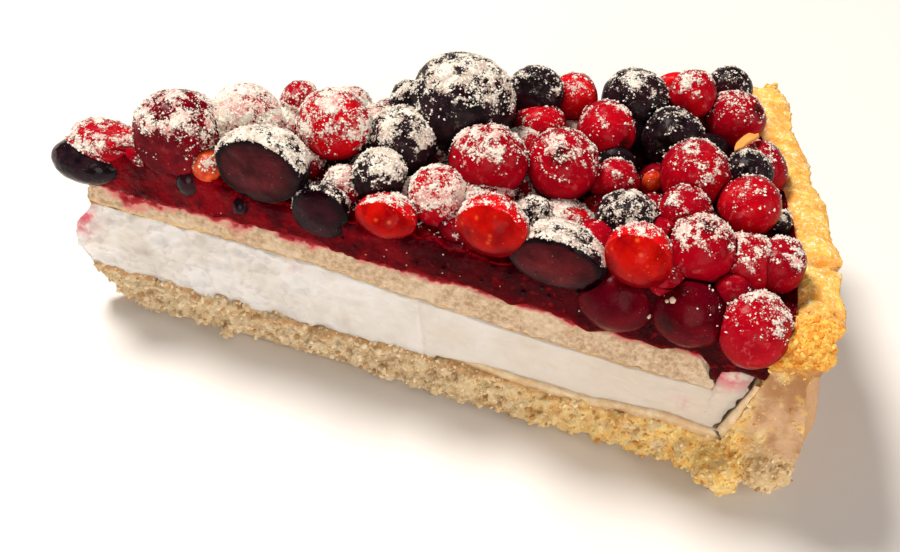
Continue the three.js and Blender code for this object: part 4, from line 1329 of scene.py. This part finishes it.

# %% [markdown]
# Blueberry skin is nearly black, with a waxy bloom that dulls it and pale streaks painted on as sheen, and
# its flesh is plum-dark. Two dark berries near the tip are wet with juice, so the same recipe is made again
# without the dullness. The little orange berries are plainer.
# %% Dark and orange skin
def dark_skin(name, dry, gloss):
    c = Finish(name, dry, Specular_IOR_Level=gloss)
    dark = c.two_tone(2.6, 0.35, 0.7, (14, 6, 10), (44, 26, 34), 4)
    dark = c.spotted(dark, (62, 10, 22), 6.0, 0.5, 0.75, 0.5)
    # painted sheen: pale streaks over the dark skin
    dark = sheen_streaked(c, dark, (176, 150, 146), 1.3, 0.75, 0.58, 0.4)
    plum_low = c.blend(c.value("tone"), (20, 3, 12), (62, 4, 10))
    plum_high = c.blend(c.value("tone"), (48, 12, 30), (112, 24, 32))
    dark = cut_flesh(c, dark, plum_low, plum_high, (18, 1, 7), (122, 56, 56))
    dark = c.blend(c.value("eye"), dark, (18, 10, 10))
    c.bump(c.noise(1.3, 3, 0.6), 0.22, 0.7)
    sugar_over(c, dark, dry, (206, 184, 170))
    return c


dark_look = dark_skin("blue_black_skin", 0.34, 0.08)
wet_look = dark_skin("wet_black_skin", 0.06, 0.13)
WET = ("dark_berry_01", "dark_berry_03")

orange_look = Finish("orange_skin", 0.3, Subsurface_Weight=0.4, Subsurface_Scale=0.002,
                     Subsurface_Radius=(1.0, 0.3, 0.1), Specular_IOR_Level=0.15)
c = orange_look
orange = c.two_tone(1.2, 0.35, 0.65, (186, 36, 16), (226, 92, 38))
orange = cut_flesh(c, orange, (206, 44, 22), (236, 112, 50), (140, 12, 14), (252, 196, 110))
sugar_over(c, orange, 0.3)
looks = {"red": red_look, "dark": dark_look, "orange": orange_look}
print("wet berries:", len(WET))

# %% [markdown]
# With shapes, sugar and finishes ready, the berries are made one by one. A heap of sugar lifts the surface
# by up to a third of a millimetre. Each berry gets a tone, dark to light, random unless the photo shows it,
# and each is kept with its dust for the loose grains that come last.
# %% Placing the berries
TONES = named(red={2: 0.15, 3: 0.9, 4: 0.95, 5: 0.95, 6: 0.05, 7: 0.08, 8: 0.55, 15: 0.45, 16: 0.5, 18: 0.7,
                   20: 0.6, 29: 0.95, 30: 0.45},
              dark={1: 0.1, 2: 0.7, 3: 0.1, 4: 0.15, 5: 0.9})


def berry_values(p, dust, tone, cut=0, ring_or_shade=0, flower=0):
    """The values per point that every berry finish reads"""
    values = {"dust": dust, "cut": cut, "ring_or_shade": ring_or_shade, "eye": flower, "tone": tone}
    return {key: value + np.zeros(len(p)) for key, value in values.items()}


rng = np.random.default_rng(12)
dusted = []
for seed, name in enumerate(berry_nodes):
    p, faces, cut, ring_or_shade, flower = berry_shape(name, seed)
    normal = facing(p, faces)
    dust = dust_on(p, normal, SUGARED.get(name, USUAL_SUGAR), DRAPED.get(name, 0), cut, seed)
    heap = ease((dust - 0.3) / 0.4) * 0.36 * rough_noise(p, 0.7, 30 + seed, 2)
    p = p + normal * heap[:, None]
    random_tone = rng.uniform(0.35, 0.85)
    kind = name.split("_")[0]
    piece(name + "_look", p, faces, wet_look if name in WET else looks[kind], node=name,
          values=berry_values(p, dust, TONES.get(name, random_tone), cut, ring_or_shade, flower))
    dusted.append((p, faces, dust))
sugary = np.concatenate([dust for _, _, dust in dusted]) > 0.45
print("sugared share of all points:", round(float(sugary.mean()), 2))

# %% [markdown]
# Under the berries that can be told apart lies a second layer, seen only in the gaps. Without it the jelly
# would show as a flat red sheet. A dozen smaller balls are listed where the photo shows a gap, each with
# its place and size, and more are dropped at random where there is room.
# %% Places in the gaps
GAPS_BY_EYE = [(39.6, 19.8, 37.0, 3.6), (28.6, 11.2, 36.2, 3.8), (69.8, 15.3, 32.6, 2.9),
               (81.6, 25.6, 35.0, 3.0), (21.2, 9.0, 35.2, 3.9), (31.6, 14.0, 35.2, 4.3),
               (43.6, 18.2, 35.2, 4.2), (45.8, 21.6, 34.6, 4.0), (61.6, 30.4, 35.0, 4.3),
               (36.6, 17.4, 34.8, 4.0), (26.0, 7.2, 33.6, 3.4), (53.4, 18.6, 33.0, 3.6)]
GAP_TRIES = 9000


def gap_places(gen):
    """Places and sizes of the smaller balls"""
    berry_p = np.array([place for place, _, _ in berries.values()])
    berry_r = np.array([radii.mean() for _, radii, _ in berries.values()])
    gaps = np.array(GAPS_BY_EYE)
    for _ in range(GAP_TRIES):
        size = gen.uniform(3.0, 4.5)
        r, turn = gen.uniform(16, 109 - size), gen.random()
        spot = on_slice(r, turn, jelly_top(r, turn) + gen.uniform(-0.2, 2.4))
        in_front, in_back = cut_depth(spot)
        at_a_cut = in_front < size * 0.9 + 0.4 or in_back < size * 0.4
        under = np.hypot(*(berry_p - spot)[:, :2].T) < 0.6 * (berry_r + size)
        taken = np.hypot(*(gaps[:, :3] - spot)[:, :2].T) < 0.8 * (size + gaps[:, 3])
        if not (at_a_cut or under.any() or taken.any()):
            gaps = np.vstack([gaps, [*spot, size]])
    return gaps[:, :3], gaps[:, 3]


gen = np.random.default_rng(3)
gap_spots, gap_sizes = gap_places(gen)
print("berries in the gaps:", len(gap_spots))

# %% [markdown]
# They are half sunk in the jelly, dented by the berries above, and joined into one piece per kind. Towards
# the rim they get less sugar. Behind the cut currants at the rim end they are all red, as in the photo.
# %% Berries in the gaps
RIM_GAPS = 74
kinds = np.where(gen.random(len(gap_spots)) < 0.7, "red", "dark")
kinds[(np.abs(gap_spots[:, 0] - 99) < 9) & (gap_spots[:, 1] < 14)] = "red"
for kind in ("red", "dark"):
    parts, tones, dusts = [], [], []
    for n in np.flatnonzero(kinds == kind):
        radii = gap_sizes[n] * gen.uniform(0.93, 1.05, 3)
        bumpy = 1 + (smooth_noise(small_points + n * 3.7, 0.9, 200 + n) - 0.5) * 0.12
        p = pressed(small_points * bumpy[:, None] * radii + gap_spots[n], gap_spots[n], radii, berry_nodes)
        cut_back(p)
        parts.append((p, small_faces))
        tones.append(np.full(len(p), gen.uniform(0.1, 0.6)))
        amount, drape, share = (0.5, 0, 0.45) if gap_spots[n][0] > RIM_GAPS else (0.85, 0.35, 1.0)
        dusts.append(dust_on(p, facing(p, small_faces), amount, drape, 0, 300 + n) * share)
    p, f = gather(parts)
    dust = np.concatenate(dusts)
    dusted.append((p, f, dust))
    piece(f"gap_berries_{kind}", p, f, looks[kind],
          values=berry_values(p, dust, np.concatenate(tones)))
print("berry faces:", sum(len(faces) for _, faces, _ in dusted))

# %% [markdown]
# ## Small things
# Seeds and crumbs dragged along by the knife stick in the jelly. They are tiny, but they are what makes the
# band look like food: dark seeds the size of a poppy seed with one bigger dark lump towards the tip, and
# pale crumbs of sponge, the three largest at the rim end.
# %% Seeds and pale crumbs
SEEDS, PALE = 26, 16


def speckled(name, roughness, size_mm, one, other, **sockets):
    """A plain finish of two mingled colours"""
    c = Finish(name, roughness, **sockets)
    c.colour(c.blend(c.noise(size_mm), one, other))
    return c


gen = np.random.default_rng(14)
r = gen.uniform(44, 104, SEEDS)
z = 26.3 + gen.random(SEEDS) * 4
seed_spots = np.concatenate([np.stack([r, -0.12 + 0 * r, z], -1), [(29.2, 0.3, 28.8)]])
p, f = lumps(seed_spots, np.append(gen.uniform(0.16, 0.34, SEEDS), 1.5), 2, 0.12, 41)
seed_look = speckled("berry_seeds", 0.2, 1.0, (10, 4, 12), (44, 14, 24), Specular_IOR_Level=0.12)
piece("jelly_seeds", p, f, seed_look)
r = np.concatenate([gen.uniform(24, 106, PALE), [93.2, 96.0, 95.2]])
z = np.concatenate([26 + gen.random(PALE) * 4.5, [29.4, 33.6, 33.2]])
pale_spots = np.stack([r, -0.35 + 0 * r, z], -1)
p, f = lumps(pale_spots, np.concatenate([gen.uniform(0.07, 0.15, PALE), [0.5, 0.5, 0.35]]), 2, 0.2, 42)
piece("pale_crumbs", p, f, speckled("pale_crumbs", 0.9, 0.8, (214, 180, 150), (246, 226, 206)))
print("seeds:", len(seed_spots), "pale crumbs:", len(pale_spots))

# %% [markdown]
# Two thin scraps are left: a golden flake of the rim that has fallen on the berries by the wall, and a torn
# piece of skin on the berry at the tip. Both are the same curled sheet with pointed ends, turned by three
# given axes.
# %% Scraps
def flap(length, width, thickness, curl, axes, place, seed):
    """A thin curled scrap with pointed ends, along the first of its three axes"""
    s = np.linspace(-1, 1, 25)[:, None]
    outline = (1 - np.abs(s) ** 3) * np.linspace(-1, 1, 7)[None]
    sheet = np.stack([s * length + 0 * outline, outline * width, curl * (1 - s**2) + 0 * outline], -1)
    sheet = np.stack([sheet, sheet + np.array([0, 0, thickness])], 2)
    sheet = sheet + (smooth_noise(sheet, 0.8, seed) * 0.3)[..., None]
    points, quads = skin(sheet)
    return points @ np.array(axes) + np.array(place), quads


FLAKE_AXES = [[0.5, 0.86, 0.1], [-0.8, 0.5, -0.33], [-0.33, 0.1, 0.94]]
TORN_AXES = [[0.85, -0.1, -0.5], [0.3, 0.75, 0.6], [0.2, -0.65, 0.73]]
p, q = flap(3.0, 0.9, 0.5, 0.5, FLAKE_AXES, (100.6, 34.2, 37.9), 3)
piece("fallen_flake", p, q, speckled("fallen_flake", 0.8, 1.2, (216, 128, 40), (244, 180, 92)))
p, q = flap(1.9, 0.9, 0.4, 0.5, TORN_AXES, (11.4, 0.3, 32.4), 9)
torn_dust = 0.1 + 0.4 * ease((p[:, 0] - 11.0) / 1.4)
piece("torn_skin", p, q, red_look, values=berry_values(p, torn_dust, 0.3))
print("faces of a scrap:", len(q))

# %% [markdown]
# ## Loose sugar
# Up close, sieved sugar is a crust of tiny clumps, some standing off the skin. The tint alone would look
# painted, so grains of a tenth to a third of a millimetre are strewn where the dust value is high. A little
# has drifted on the jelly too, in patches, but none on its cut face. The grains are the same little stones
# as the crumbs of the crust, joined in two meshes.
# %% Sugar grains
GRAINS, GRAIN_PIECES = 37000, 2
sugar_look = Finish("icing_sugar", 0.9, Subsurface_Weight=0.15, Subsurface_Scale=0.001,
                    Specular_IOR_Level=0.3)
c = sugar_look
c.colour(c.blend(c.noise(0.8, 2), (246, 232, 218), (255, 252, 246)))
jelly_f = in_triangles(jelly_q)
drift = ease((facing(jelly_p, jelly_f)[:, 2] - 0.4) / 0.5) * ease((95 - jelly_p[:, 0]) / 30)
drift = drift * ease((rough_noise(jelly_p, 2.2, 71) - 0.36) / 0.3) * ease((cut_depth(jelly_p)[0] - 1.5) / 1.5)
dusted.append((jelly_p, jelly_f, 0.1 + 0.6 * drift))
dusted_p, dusted_f = gather([(p, f) for p, f, _ in dusted])
grain_weight = np.concatenate([ease((dust - 0.1) / 0.7) for _, _, dust in dusted])
gen = np.random.default_rng(8)
where = strewn(dusted_p, dusted_f, grain_weight, GRAINS, gen)
size = 0.08 + 0.18 * gen.random(GRAINS) ** 2
order = np.argsort(where[:, 0])
for n, part in enumerate(np.array_split(order, GRAIN_PIECES)):
    p, f = stones(where[part], size[part], gen)
    piece(f"sugar_grains_{n + 1}", p, f, sugar_look, smooth=False)
print("sugar grains:", GRAINS)
